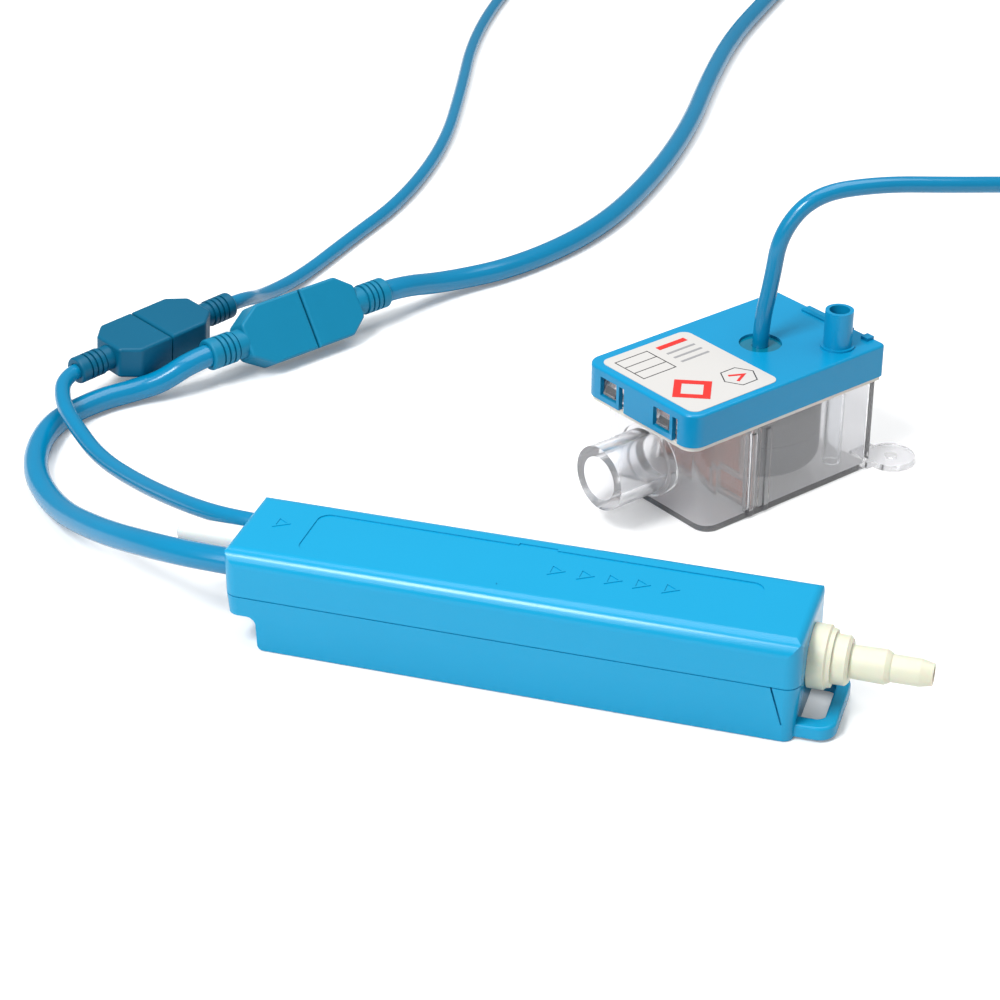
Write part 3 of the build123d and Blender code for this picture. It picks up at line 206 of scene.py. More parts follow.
def merge(parts: Iterable[Figure]) -> Figure:
    """Join several sets of points and faces into one.

    Args:
        parts: pairs of points and faces.

    Returns:
        One pair.
    """
    points: list[np.ndarray] = []
    faces: list = []
    offset = 0
    for part_points, part_faces in parts:
        points.append(part_points)
        faces.extend([[corner + offset for corner in face] for face in part_faces])
        offset += len(part_points)
    return np.vstack(points), faces


# ------------------------------------------------------------------------------ finishes
COAT_ROUGHNESS = 0.08
SCATTER_LENGTH = 0.002  # how far light spreads inside milky plastics, in metres
LEAST_ROUGHNESS = 0.02
DRIFT_DETAIL = 3.0
GRAIN_DETAIL = 4.0
BRUSH_STRETCH = (0.06, 1.0, 1.0)  # draws brushed grain out along X


class Grain(Enum):
    """The fine relief on a surface."""

    SMOOTH = "smooth"
    SPARK = "spark"
    FOAM = "foam"
    BRUSHED = "brushed"
    WOUND = "wound"


@dataclass(frozen=True)
class Finish:
    """A moulded, metal or rubber surface with slow colour drift and fine relief.

    Colour = base colour times (1 + drift times slow noise); height = fine noise or bands.
    """

    name: str
    colour: Colour
    roughness: float = 0.35
    metallic: float = 0.0
    coat: float = 0.0
    drift: float = 0.06
    drift_scale: float = 35.0
    grain: Grain = Grain.SMOOTH
    grain_scale: float = 900.0
    grain_depth: float = 0.00002
    grain_strength: float = 0.12
    transmission: float = 0.0
    ior: float = 1.46
    subsurface: float = 0.0
    specular: float = 0.5
    rough_spread: float = 0.08

    def material(self) -> bpy.types.Material:
        """Build the node material.

        Returns:
            The material, made once and then reused by name.
        """
        key = f"look_{self.name}"
        found = bpy.data.materials.get(key)
        if found is not None:
            return found
        material = bpy.data.materials.new(key)
        material.use_nodes = True
        tree = material.node_tree
        shader = tree.nodes["Principled BSDF"]
        place = tree.nodes.new("ShaderNodeTexCoord")
        self._colour(tree, shader, place)
        self._relief(tree, shader, place)
        shader.inputs["Metallic"].default_value = self.metallic
        shader.inputs["IOR"].default_value = self.ior
        shader.inputs["Coat Weight"].default_value = self.coat
        shader.inputs["Coat Roughness"].default_value = COAT_ROUGHNESS
        shader.inputs["Transmission Weight"].default_value = self.transmission
        shader.inputs["Subsurface Weight"].default_value = self.subsurface
        shader.inputs["Subsurface Scale"].default_value = SCATTER_LENGTH
        shader.inputs["Specular IOR Level"].default_value = self.specular
        return material

    def _colour(self, tree: bpy.types.NodeTree, shader: bpy.types.Node, place: bpy.types.Node) -> None:
        """Slow drift of colour and roughness over the surface."""
        slow = tree.nodes.new("ShaderNodeTexNoise")
        slow.inputs["Scale"].default_value = self.drift_scale
        slow.inputs["Detail"].default_value = DRIFT_DETAIL
        tree.links.new(place.outputs["Object"], slow.inputs["Vector"])
        blend = tree.nodes.new("ShaderNodeMix")
        blend.data_type = "RGBA"
        low = [max(0.0, channel * (1.0 - self.drift)) for channel in self.colour]
        high = [min(1.0, channel * (1.0 + self.drift)) for channel in self.colour]
        blend.inputs["A"].default_value = (*low, 1.0)
        blend.inputs["B"].default_value = (*high, 1.0)
        tree.links.new(slow.outputs["Fac"], blend.inputs["Factor"])
        tree.links.new(blend.outputs["Result"], shader.inputs["Base Color"])
        spread = tree.nodes.new("ShaderNodeMapRange")
        smoothest = self.roughness * (1.0 - self.rough_spread)
        spread.inputs["To Min"].default_value = max(LEAST_ROUGHNESS, smoothest)
        spread.inputs["To Max"].default_value = min(1.0, self.roughness * (1.0 + self.rough_spread))
        tree.links.new(slow.outputs["Fac"], spread.inputs["Value"])
        tree.links.new(spread.outputs["Result"], shader.inputs["Roughness"])

    def _relief(self, tree: bpy.types.NodeTree, shader: bpy.types.Node, place: bpy.types.Node) -> None:
        """Fine relief of the chosen grain, through a bump node."""
        vector = place.outputs["Object"]
        if self.grain is Grain.BRUSHED:
            stretch = tree.nodes.new("ShaderNodeMapping")
            stretch.inputs["Scale"].default_value = BRUSH_STRETCH
            tree.links.new(vector, stretch.inputs["Vector"])
            vector = stretch.outputs["Vector"]
        if self.grain is Grain.WOUND:
            texture = tree.nodes.new("ShaderNodeTexWave")
            texture.bands_direction = "X"
            height = texture.outputs["Fac"]
        elif self.grain is Grain.FOAM:
            texture = tree.nodes.new("ShaderNodeTexVoronoi")
            height = texture.outputs["Distance"]
        else:
            texture = tree.nodes.new("ShaderNodeTexNoise")
            texture.inputs["Detail"].default_value = GRAIN_DETAIL
            height = texture.outputs["Fac"]
        texture.inputs["Scale"].default_value = self.grain_scale
        tree.links.new(vector, texture.inputs["Vector"])
        bump = tree.nodes.new("ShaderNodeBump")
        bump.inputs["Strength"].default_value = self.grain_strength
        bump.inputs["Distance"].default_value = self.grain_depth
        tree.links.new(height, bump.inputs["Height"])
        tree.links.new(bump.outputs["Normal"], shader.inputs["Normal"])


@dataclass(frozen=True)
class BoardFinish:
    """Green solder mask with paler copper tracks, from a brick pattern."""

    name: str = "solder_mask"
    mask: Colour = (0.02, 0.16, 0.06)
    track: Colour = (0.07, 0.32, 0.12)
    track_scale: float = 160.0
    roughness: float = 0.3

    def material(self) -> bpy.types.Material:
        """Build the node material.

        Returns:
            The material.
        """
        material = bpy.data.materials.new(self.name)
        material.use_nodes = True
        tree = material.node_tree
        shader = tree.nodes["Principled BSDF"]
        shader.inputs["Roughness"].default_value = self.roughness
        place = tree.nodes.new("ShaderNodeTexCoord")
        bricks = tree.nodes.new("ShaderNodeTexBrick")
        bricks.inputs["Scale"].default_value = self.track_scale
        bricks.inputs["Color1"].default_value = (*self.mask, 1.0)
        bricks.inputs["Color2"].default_value = (*self.mask, 1.0)
        bricks.inputs["Mortar"].default_value = (*self.track, 1.0)
        tree.links.new(place.outputs["Object"], bricks.inputs["Vector"])
        tree.links.new(bricks.outputs["Color"], shader.inputs["Base Color"])
        return material


PUMP_BLUE = Finish("pump_blue", (0.003, 0.28, 0.505), roughness=0.2, specular=0.35, drift=0.025,
                   grain=Grain.SPARK, grain_scale=1400.0, grain_depth=0.000015, grain_strength=0.05)
LID_BLUE = Finish("lid_blue", (0.002, 0.245, 0.47), roughness=0.24, specular=0.35, drift=0.03,
                  grain=Grain.SPARK, grain_scale=1300.0, grain_depth=0.000015, grain_strength=0.06)
NYLON_CREAM = Finish("nylon_cream", (0.60, 0.605, 0.48), roughness=0.42, drift=0.03, subsurface=0.35,
                     grain_scale=500.0, grain_strength=0.15)
NYLON_WHITE = Finish("nylon_white", (0.74, 0.74, 0.71), roughness=0.4, drift=0.03, subsurface=0.3)
CLEAR_TANK = Finish("clear_tank", (0.93, 0.93, 0.945), roughness=0.1, drift=0.01, transmission=0.92, ior=1.49,
                    grain_scale=120.0, grain_depth=0.0001, grain_strength=0.06)
CLEAR_TUBE = Finish("clear_tube", (0.95, 0.96, 0.97), roughness=0.05, drift=0.01, transmission=1.0, ior=1.3,
                    grain_scale=100.0, grain_depth=0.00005, grain_strength=0.04)
SEAL_CREAM = Finish("seal_cream", (0.68, 0.64, 0.58), roughness=0.55, drift=0.05, subsurface=0.2)
FLOAT_GREY = Finish("float_grey", (0.02, 0.022, 0.032), roughness=0.62, drift=0.2, drift_scale=90.0,
                    grain=Grain.FOAM, grain_scale=1500.0, grain_depth=0.00005, grain_strength=0.35)
STEM_BLACK = Finish("stem_black", (0.03, 0.03, 0.035), roughness=0.4)
FERRITE = Finish("ferrite", (0.05, 0.05, 0.055), roughness=0.5, metallic=0.3, grain_strength=0.3)
DRAWN_STEEL = Finish("drawn_steel", (0.62, 0.62, 0.64), roughness=0.3, metallic=1.0, grain=Grain.BRUSHED)
GROUND_STEEL = Finish("ground_steel", (0.58, 0.58, 0.60), roughness=0.25, metallic=1.0, grain=Grain.BRUSHED,
                      grain_strength=0.25)
COPPER_WIRE = Finish("copper_wire", (0.60, 0.24, 0.09), roughness=0.3, metallic=1.0, grain=Grain.WOUND,
                     grain_scale=420.0, grain_depth=0.00015, grain_strength=0.8)
RUBBER_BLACK = Finish("rubber_black", (0.02, 0.02, 0.02), roughness=0.7, drift=0.15, grain_strength=0.3)
SILICONE = Finish("silicone", (0.82, 0.82, 0.80), roughness=0.35, subsurface=0.5, drift=0.03)
COMPONENT_BLACK = Finish("component_black", (0.025, 0.025, 0.028), roughness=0.45, grain_strength=0.3)
TERMINAL_GREEN = Finish("terminal_green", (0.01, 0.20, 0.07), roughness=0.35)
# Both connectors are one blue plastic: the sensor connector's copy is darkened as painted shade, the mains
# connector's copy lightened as painted light on its face tilted to the front light.
PLUG_PAINTED_SHADE = Finish("plug_teal", (0.0, 0.10, 0.19), roughness=0.4, specular=0.25, drift=0.07,
                   grain=Grain.SPARK, grain_scale=1100.0, grain_depth=0.00003, grain_strength=0.2)
PLUG_PAINTED_LIGHT = Finish("plug_blue", (0.003, 0.18, 0.32), roughness=0.42, specular=0.25, drift=0.07,
                   grain=Grain.SPARK, grain_scale=1100.0, grain_depth=0.00003, grain_strength=0.2)
PLATED = Finish("plated_contact", (0.80, 0.62, 0.28), roughness=0.25, metallic=1.0)
SHEATH_BLUE = Finish("sheath_blue", (0.0, 0.185, 0.36), roughness=0.2, specular=0.5, drift=0.06,
                     drift_scale=60.0, grain_scale=700.0, grain_strength=0.08)
CORE_BROWN = Finish("core_brown", (0.20, 0.07, 0.02), roughness=0.4)
FILTER_RED = Finish("filter_red", (0.55, 0.17, 0.10), roughness=0.7, drift=0.35, drift_scale=220.0,
                    grain_scale=900.0, grain_strength=0.4)
FILTER_CLEAR = Finish("filter_clear", (0.86, 0.74, 0.70), roughness=0.2, drift=0.05,
                      transmission=0.8, ior=1.3)
GROMMET_TEAL = Finish("grommet_teal", (0.0, 0.16, 0.26), roughness=0.15, coat=0.3)
LABEL_WHITE = Finish("label_white", (0.54, 0.53, 0.515), roughness=0.38, drift=0.02, grain_strength=0.05)
INK_RED = Finish("ink_red", (0.62, 0.02, 0.015), roughness=0.4, drift=0.08)
INK_BLACK = Finish("ink_black", (0.02, 0.02, 0.022), roughness=0.4)
INK_GREY = Finish("ink_grey", (0.28, 0.28, 0.29), roughness=0.4)
TIE_WHITE = Finish("tie_white", (0.75, 0.75, 0.74), roughness=0.5)
SOLDER_MASK = BoardFinish()


def dress(names: Iterable[str], finish: Finish | BoardFinish) -> None:
    """Give CAD nodes one finish.

    Args:
        names: node names.
        finish: the finish they all get.
    """
    for name in names:
        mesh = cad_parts[name].data
        mesh.materials.clear()
        mesh.materials.append(finish.material())
        LOG.info("dressed %s in %s", name, finish.name)


def finish_piece(piece: bpy.types.Object, finish: Finish, body: str = BODY) -> bpy.types.Object:
    """Give a new piece its finish and the body it rides on.

    Args:
        piece: the new piece.
        finish: its surface.
        body: the body it moves with.

    Returns:
        The same piece.
    """
    piece.data.materials.append(finish.material())
    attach(piece, body)
    LOG.info("made %s", piece.name)
    return piece


# ------------------------------------------------------------------------------ studio
@dataclass
class Studio:
    """White sweep, soft lights and the camera."""

    camera_place: Point = (0.171078, -0.568298, 0.391730)
    camera_right: Point = (0.954797, 0.297258, 0.0)
    camera_up: Point = (-0.148139, 0.475825, 0.866975)
    focal_pixels: float = 2605.84
    frame_pixels: float = 1000.0
    sensor_mm: float = 36.0
    floor_half: float = 1.35
    floor_gap: float = 0.0003
    white: float = 0.82
    floor_glow: float = 0.16
    sky_light: float = 0.40
    nearest: float = 0.01
    farthest: float = 50.0

    def build(self) -> None:
        """Make the camera, the floor, the world and the lamps."""
        self.camera()
        self.floor()
        self.world()
        self.lamps()

    def camera(self) -> None:
        """Place the camera: its axes are the given right and up, and their cross product backwards."""
        data = bpy.data.cameras.new("camera")
        data.sensor_fit = "HORIZONTAL"
        data.sensor_width = self.sensor_mm
        data.lens = self.focal_pixels * self.sensor_mm / self.frame_pixels
        data.clip_start = self.nearest
        data.clip_end = self.farthest
        camera = link("camera", data)
        right = Vector(self.camera_right)
        up = Vector(self.camera_up)
        back = right.cross(up)
        turn = Matrix((right, up, back)).transposed()
        camera.matrix_world = Matrix.Translation(self.camera_place) @ turn.to_4x4()
        bpy.context.scene.camera = camera

    def seen_white(self, tree: bpy.types.NodeTree) -> bpy.types.NodeSocket:
        """One for rays from the camera or through clear plastic, nought for the rest.

        Args:
            tree: the node tree to build in.

        Returns:
            The socket with that value.
        """
        path = tree.nodes.new("ShaderNodeLightPath")
        either = tree.nodes.new("ShaderNodeMath")
        either.operation = "MAXIMUM"
        tree.links.new(path.outputs["Is Camera Ray"], either.inputs[0])
        tree.links.new(path.outputs["Is Transmission Ray"], either.inputs[1])
        return either.outputs["Value"]

    def floor(self) -> None:
        """A wide white floor that keeps the object's shadow but reads as white where it is lit."""
        half = self.floor_half
        z = -self.floor_gap
        points = np.array([[-half, -half, z], [half, -half, z], [half, half, z], [-half, half, z]])
        floor = mesh_piece("floor", points, [[0, 1, 2, 3]], smooth=False)
        material = bpy.data.materials.new("floor_white")
        material.use_nodes = True
        tree = material.node_tree
        tree.nodes.clear()
        output = tree.nodes.new("ShaderNodeOutputMaterial")
        diffuse = tree.nodes.new("ShaderNodeBsdfDiffuse")
        diffuse.inputs["Color"].default_value = (self.white, self.white, self.white, 1.0)
        glow = tree.nodes.new("ShaderNodeEmission")
        glow.inputs["Strength"].default_value = self.floor_glow
        both = tree.nodes.new("ShaderNodeAddShader")
        choose = tree.nodes.new("ShaderNodeMixShader")
        tree.links.new(diffuse.outputs[0], both.inputs[0])
        tree.links.new(glow.outputs[0], both.inputs[1])
        tree.links.new(self.seen_white(tree), choose.inputs["Fac"])
        tree.links.new(diffuse.outputs[0], choose.inputs[1])
        tree.links.new(both.outputs[0], choose.inputs[2])
        tree.links.new(choose.outputs[0], output.inputs["Surface"])
        floor.data.materials.append(material)

    def world(self) -> None:
        """White surroundings: full white where they are seen, softer as light."""
        world = bpy.data.worlds.new("studio")
        world.use_nodes = True
        bpy.context.scene.world = world
        tree = world.node_tree
        tree.nodes.clear()
        output = tree.nodes.new("ShaderNodeOutputWorld")
        seen = tree.nodes.new("ShaderNodeBackground")
        light = tree.nodes.new("ShaderNodeBackground")
        seen.inputs["Strength"].default_value = 1.0
        light.inputs["Strength"].default_value = self.sky_light
        choose = tree.nodes.new("ShaderNodeMixShader")
        tree.links.new(self.seen_white(tree), choose.inputs["Fac"])
        tree.links.new(light.outputs[0], choose.inputs[1])
        tree.links.new(seen.outputs[0], choose.inputs[2])
        tree.links.new(choose.outputs[0], output.inputs["Surface"])

    def lamps(self) -> None:
        """Soft boxes: a large one overhead, one from the front and a small one for the long highlight."""
        self.area("overhead", (0.1, 0.35, 1.3), (0.0, 0.12, 0.0), 1.2, 15.5)
        self.area("front", (-0.5, -1.1, 0.9), (0.0, 0.0, 0.0), 0.7, 6.5)
        self.area("edge", (-0.33, -0.6, 1.02), (0.0, 0.0, 0.0), 0.36, 11.0)

    def area(self, name: str, place: Point, target: Point, size: float, power: float) -> None:
        """One square soft box.

        Args:
            name: the lamp's name.
            place: where it stands.
            target: where it points.
            size: its side.
            power: its power in watts.
        """
        data = bpy.data.lights.new(name, "AREA")
        data.size = size
        data.energy = power
        lamp = link(name, data)
        aim = Vector(target) - Vector(place)
        lamp.matrix_world = Matrix.Translation(place) @ aim.to_track_quat("-Z", "Y").to_matrix().to_4x4()


# ------------------------------------------------------------------------------ connectors
@dataclass(frozen=True)
class PlugPlace:
    """Where an in-line connector lies, in millimetres: its centre, heading and reach along its axis."""

    centre: Point
    heading: float
    socket_reach: float
    plug_reach: float
    seat: float = 3.0

    def along(self, distance: float) -> Point:
        """The point that far from the centre: centre + distance times (cos heading, sin heading, 0)."""
        angle = math.radians(self.heading)
        return (
            self.centre[0] + distance * math.cos(angle),
            self.centre[1] + distance * math.sin(angle),
            self.centre[2],
        )


RELIEF_REACH = 13.4  # a strain relief and its neck, beyond each half
MAINS_PLUG = PlugPlace((-123.8, 157.8, 11.4), 58.3, 25.2 + RELIEF_REACH, 21.2 + RELIEF_REACH)
SENSOR_PLUG = PlugPlace((-164.5, 127.1, 13.65), 65.0, 18.5 + RELIEF_REACH, 20.8 + RELIEF_REACH)


# ------------------------------------------------------------------------------ cords
@dataclass(frozen=True)
class Coil:
    """Turns of spare cord, in millimetres, wound anticlockwise seen from above."""

    centre: Plan
    radii: tuple[float, ...]
    heights: tuple[float, ...]
    start_angle: float
    steps: int = 14
    ease_from: float = 0.72
    ease_over: float = 0.28

    def points(self) -> list[Point]:
        """Points of the turns: centre + radius times (cos a, sin a).

        Late in each turn, radius and height ease into the next turn's.

        Returns:
            The points, from the first turn to the last.
        """
        turns = len(self.radii)
        index = np.arange(turns * self.steps + 1)
        angle = math.radians(self.start_angle) + 2 * math.pi * index / self.steps
        turn = np.minimum(index // self.steps, turns - 1)
        share = index / self.steps - turn
        ease = np.clip((share - self.ease_from) / self.ease_over, 0.0, 1.0)
        ease = ease * ease * (3 - 2 * ease)
        following = np.minimum(turn + 1, turns - 1)
        radii = np.array(self.radii)
        heights = np.array(self.heights)
        radius = radii[turn] * (1 - ease) + radii[following] * ease
        height = heights[turn] * (1 - ease) + heights[following] * ease
        x = self.centre[0] + radius * np.cos(angle)
        y = self.centre[1] + radius * np.sin(angle)
        return list(zip(x.tolist(), y.tolist(), height.tolist()))


@dataclass(frozen=True)
class Cord:
    """One cord: a smooth spline through a given route, with a round sheath."""

    name: str
    route: tuple[Point, ...]
    radius: float
    length: float
    far_end: str
    replaced: tuple[str, ...]
    with_nodes: tuple[str, ...]
    stiffness: str = "medium"
    lay: str = "loose"
    sides: int = 10
    steps: int = 12
    order: int = 3

    def build(self) -> bpy.types.Object:
        """Returns:
            The curve object.
        """
        curve = bpy.data.curves.new(self.name, "CURVE")
        curve.dimensions = "3D"
        curve.resolution_u = self.steps
        curve.bevel_depth = self.radius * MM
        curve.bevel_resolution = self.sides // 2
        curve.use_fill_caps = True
        spline = curve.splines.new("NURBS")
        spline.points.add(len(self.route) - 1)
        route = np.column_stack([np.array(self.route) * MM, np.ones(len(self.route))])
        spline.points.foreach_set("co", route.ravel())
        spline.order_u = self.order
        spline.use_endpoint_u = True
        piece = link(self.name, curve)
        finish_piece(piece, SHEATH_BLUE)
        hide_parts(*self.replaced)
        return piece


@dataclass
class Cables:
    """The pump's two pigtails, the mains lead and the long sensor lead, with their coils."""

    mains_radius: float = 3.75
    sensor_radius: float = 2.5
    mains_floor_z: float = 3.9
    sensor_floor_z: float = 2.6
    mains_coil: Plan = (-92.0, 598.0)
    mains_coil_radius: float = 43.0
    lead_coil: Plan = (142.0, 300.0)
    lead_coil_radius: float = 28.0
    anchor_x: float = -74.0
    tie_width: float = 5.0
    tie_gap: float = 0.25
    tie_lift: float = 0.1
    tie_wall: float = 0.4
    tie_corner_power: float = 0.45
    tie_rings: int = 5
    tie_points: int = 32

    def build(self) -> None:
        """Make all four cords and the two ties."""
        self.mains_pigtail().build()
        self.sensor_pigtail().build()
        self.sensor_lead().build()
        self.mains_lead().build()
        self.tie("mains_coil_tie", self.mains_coil, self.mains_coil_radius,
                 half=8.0, height=15.2, heading=205.0)
        self.tie("sensor_coil_tie", self.lead_coil, self.lead_coil_radius,
                 half=3.4, height=10.4, heading=350.0)

    def mains_pigtail(self) -> Cord:
        """The thick cable from the pump to the large connector."""
        place = MAINS_PLUG
        route = (
            (self.anchor_x, -8.0, 21.8),
            (-88.0, -8.0, 21.8),
            (-104.5, -3.8, 19.8),
            (-129.7, 11.5, 11.9),
            (-154.5, 32.0, 3.9),
            (-172.5, 53.0, 3.8),
            (-179.5, 79.5, 3.8),
            (-172.0, 98.5, 3.8),
            (-162.5, 108.5, 4.2),
            (-155.0, 113.0, 6.2),
            place.along(-place.socket_reach - 6),
            place.along(-place.socket_reach + place.seat),
        )
        return Cord("mains_pigtail_cord", route, self.mains_radius, 0.212, "connector", ("mains_pigtail",),
                    ("mains_socket", "mains_contacts"))

    def sensor_pigtail(self) -> Cord:
        """The thin cable from the pump to the small connector."""
        place = SENSOR_PLUG
        route = (
            (self.anchor_x, 10.5, 24.0),
            (-87.0, 10.5, 24.0),
            (-103.0, 17.4, 21.4),
            (-128.0, 37.5, 13.5),
            (-150.0, 55.5, 9.0),
            (-164.5, 69.5, 10.2),
            (-174.5, 80.5, 12.2),
            place.along(-place.socket_reach - 5),
            place.along(-place.socket_reach + place.seat),
        )
        return Cord("sensor_pigtail_cord", route, self.sensor_radius, 0.151, "connector", ("sensor_pigtail",),
                    ("sensor_socket", "sensor_contacts"))

    def lead_turns(self) -> Coil:
        """The sensor lead's two spare turns, one on the other."""
        heights = (self.sensor_floor_z, self.sensor_floor_z + 2 * self.sensor_radius)
        return Coil(self.lead_coil, (self.lead_coil_radius, self.lead_coil_radius), heights, 180.0)

    def sensor_lead(self) -> Cord:
        """The lead from the reservoir's lid to the small connector, with its coil on the way."""
        place = SENSOR_PLUG
        side = self.lead_coil[0] - self.lead_coil_radius
        run = (
            (-143.8, 208.0), (-139.0, 241.0), (-132.0, 283.0), (-134.0, 338.0), (-146.0, 396.0),
            (-160.0, 455.0), (-166.0, 515.0), (-165.0, 575.0), (-152.0, 630.0), (-101.0, 667.0),
            (-38.0, 676.0), (25.0, 662.0), (80.0, 622.0), (118.0, 573.0), (133.0, 512.0),
            (130.0, 452.0), (120.0, 396.0), (side, 352.0), (side, self.lead_coil[1] + 20.0),
        )
        floor_run = (
            place.along(place.plug_reach - place.seat),
            place.along(place.plug_reach + 6),
            (-148.5, 183.0, 5.6),
            *((x, y, self.sensor_floor_z) for x, y in run),
        )
        arch = (
            (side, self.lead_coil[1] - 20.0, 7.6),
            (side + 6.0, 262.0, 10.0),
            (132.0, 246.0, 20.0),
            (139.5, 229.0, 38.0),
            (137.0, 212.0, 58.0),
            (125.0, 194.0, 74.0),
            (106.0, 175.0, 82.5),
            (86.0, 158.5, 86.5),
            (66.0, 145.5, 89.5),
            (49.0, 134.8, 88.5),
            (40.5, 129.2, 77.5),
            (38.9, 128.0, 62.0),
            (36.789, 126.598, 49.0),
            (36.789, 126.598, 40.45),
        )
        route = tuple(reversed(floor_run + tuple(self.lead_turns().points()) + arch))
        return Cord("sensor_lead_cord", route, self.sensor_radius, 1.63, "connector",
                    ("sensor_lead", "reservoir_lead", "sensor_coil"), ("sensor_plug",))

    def mains_turns(self) -> Coil:
        """The mains lead's four spare turns, two side by side in each of two layers."""
        mid = self.mains_coil_radius
        half = self.mains_radius
        radii = (mid + half, mid + half, mid - half, mid - half)
        return Coil(self.mains_coil, radii, (3.8, 11.3, 11.3, 3.8), 0.0)

    def mains_lead(self) -> Cord:
        """The lead from the large connector to its spare coil, ending in bare cores."""
        place = MAINS_PLUG
        side = self.mains_coil[0] + self.mains_coil_radius
        run = (
            (-72.0, 237.0), (-54.0, 276.0), (-47.0, 326.0), (-46.0, 382.0), (-51.0, 438.0),
            (-53.0, 490.0), (side, 542.0), (side + 2.5, 568.0),
        )
        floor_run = (
            place.along(place.plug_reach - place.seat),
            place.along(place.plug_reach + 7),
            (-92.0, 213.5, 5.2),
            *((x, y, self.mains_floor_z) for x, y in run),
        )
        turns = self.mains_turns().points()[:-3]
        route = floor_run + tuple(turns)
        return Cord("mains_lead_cord", route, self.mains_radius, 1.4, "bare", ("mains_lead", "mains_coil"),
                    ("mains_plug", "mains_cores"))

    def tie(self, name: str, centre: Plan, radius: float, half: float, height: float, heading: float) -> None:
        """A soft strap round a coil: a rounded rectangle section carried across the strap's width.

        Args:
            name: the piece's name.
            centre: the coil's centre, in millimetres.
            radius: the coil's middle radius.
            half: half the coil's width across its turns.
            height: the coil's height.
            heading: where round the coil the strap sits, in degrees.
        """
        around = np.linspace(0.0, 2 * math.pi, self.tie_points, endpoint=False)
        power = self.tie_corner_power
        across = np.sign(np.cos(around)) * np.abs(np.cos(around)) ** power * (half + self.tie_gap)
        tall = np.sign(np.sin(around)) * np.abs(np.sin(around)) ** power
        middle = height / 2 + self.tie_lift
        reach = np.where(tall > 0, height / 2 + self.tie_gap, height / 2 - self.tie_lift)
        rings = [
            np.column_stack([radius + across, np.full(len(around), offset), middle + tall * reach])
            for offset in np.linspace(-self.tie_width / 2, self.tie_width / 2, self.tie_rings)
        ]
        points = placed(np.vstack(rings), heading, centre)
        piece = mesh_piece(name, points * MM, ring_faces(self.tie_rings, self.tie_points))
        wall = piece.modifiers.new("wall", "SOLIDIFY")
        wall.thickness = self.tie_wall * MM
        wall.offset = 1.0
        finish_piece(piece, TIE_WHITE)


# ------------------------------------------------------------------------------ pump
@dataclass
class Pump:
    """The slim housing, its fittings and what is inside it."""

    top_z: float = 30.5
    panel_depth: float = 0.35
    arrow_places: tuple[float, ...] = (9.8, 17.9, 25.5, 33.2, 41.1)
    arrow_y: float = 0.8
    inlet_arrow: Plan = (-68.7, 2.0)
    arrow_length: float = 3.6
    arrow_height: float = 4.6
    arrow_line: float = 0.55
    arrow_rise: float = 0.22
    arrow_sink: float = 0.05

    def build(self) -> None:
        """Dress the CAD nodes and add the raised flow arrows."""
        dress(("lower_shell", "upper_shell"), PUMP_BLUE)
        dress(("outlet_nozzle",), NYLON_CREAM)
        dress(("inlet_barb", "outlet_head", "inlet_head", "coil_bobbin"), NYLON_WHITE)
        dress(("inlet_hose",), SILICONE)
        dress(("piston", "piston_sleeve", "coil_yoke", "valve_retainer"), GROUND_STEEL)
        dress(("rear_spring", "front_spring", "outlet_valve_spring"), DRAWN_STEEL)
        dress(("coil_winding",), COPPER_WIRE)
        dress(("outlet_valve", "inlet_valve", "rear_rubber_mount", "front_rubber_mount", "nozzle_o_ring",
               "mains_cable_anchor", "sensor_cable_anchor"), RUBBER_BLACK)
        dress(("control_board",), SOLDER_MASK)
        dress(("board_capacitor", "board_triac", "board_controller"), COMPONENT_BLACK)
        dress(("board_terminals",), TERMINAL_GREEN)
        self.arrows()

    def arrow(self, x: float, y: float, floor: float) -> Figure:
        """One hollow arrow head pointing downstream, raised off its floor."""
        half = self.arrow_height / 2
        back = x - self.arrow_length / 2
        corners = [(back, y - half), (x + self.arrow_length / 2, y), (back, y + half)]
        plan, faces = stroke(corners, self.arrow_line, closed=True)
        return raised(plan, faces, floor - self.arrow_sink, floor + self.arrow_rise)

    def arrows(self) -> None:
        """Five arrows in the panel and one at the cable end, as one piece."""
        floor = self.top_z - self.panel_depth
        figures = [self.arrow(x, self.arrow_y, floor) for x in self.arrow_places]
        figures.append(self.arrow(*self.inlet_arrow, self.top_z))
        points, faces = merge(figures)
        piece = mesh_piece("flow_arrows", points * MM, faces, smooth=False)
        finish_piece(piece, PUMP_BLUE)


# ------------------------------------------------------------------------------ connectors' looks
@dataclass
class Connectors:
    """Finishes of the two in-line connectors: one blue plastic, as a darker painted-shade copy and a lighter
    painted-light copy.
    """

    def build(self) -> None:
        """Dress both halves of both connectors and their contacts."""
        # sensor connector: the blue darkened as painted shade
        dress(("sensor_socket", "sensor_plug"), PLUG_PAINTED_SHADE)
        # mains connector: the blue lightened as painted light
        dress(("mains_socket", "mains_plug"), PLUG_PAINTED_LIGHT)
        dress(("mains_contacts", "sensor_contacts"), PLATED)
        dress(("mains_cores",), CORE_BROWN)


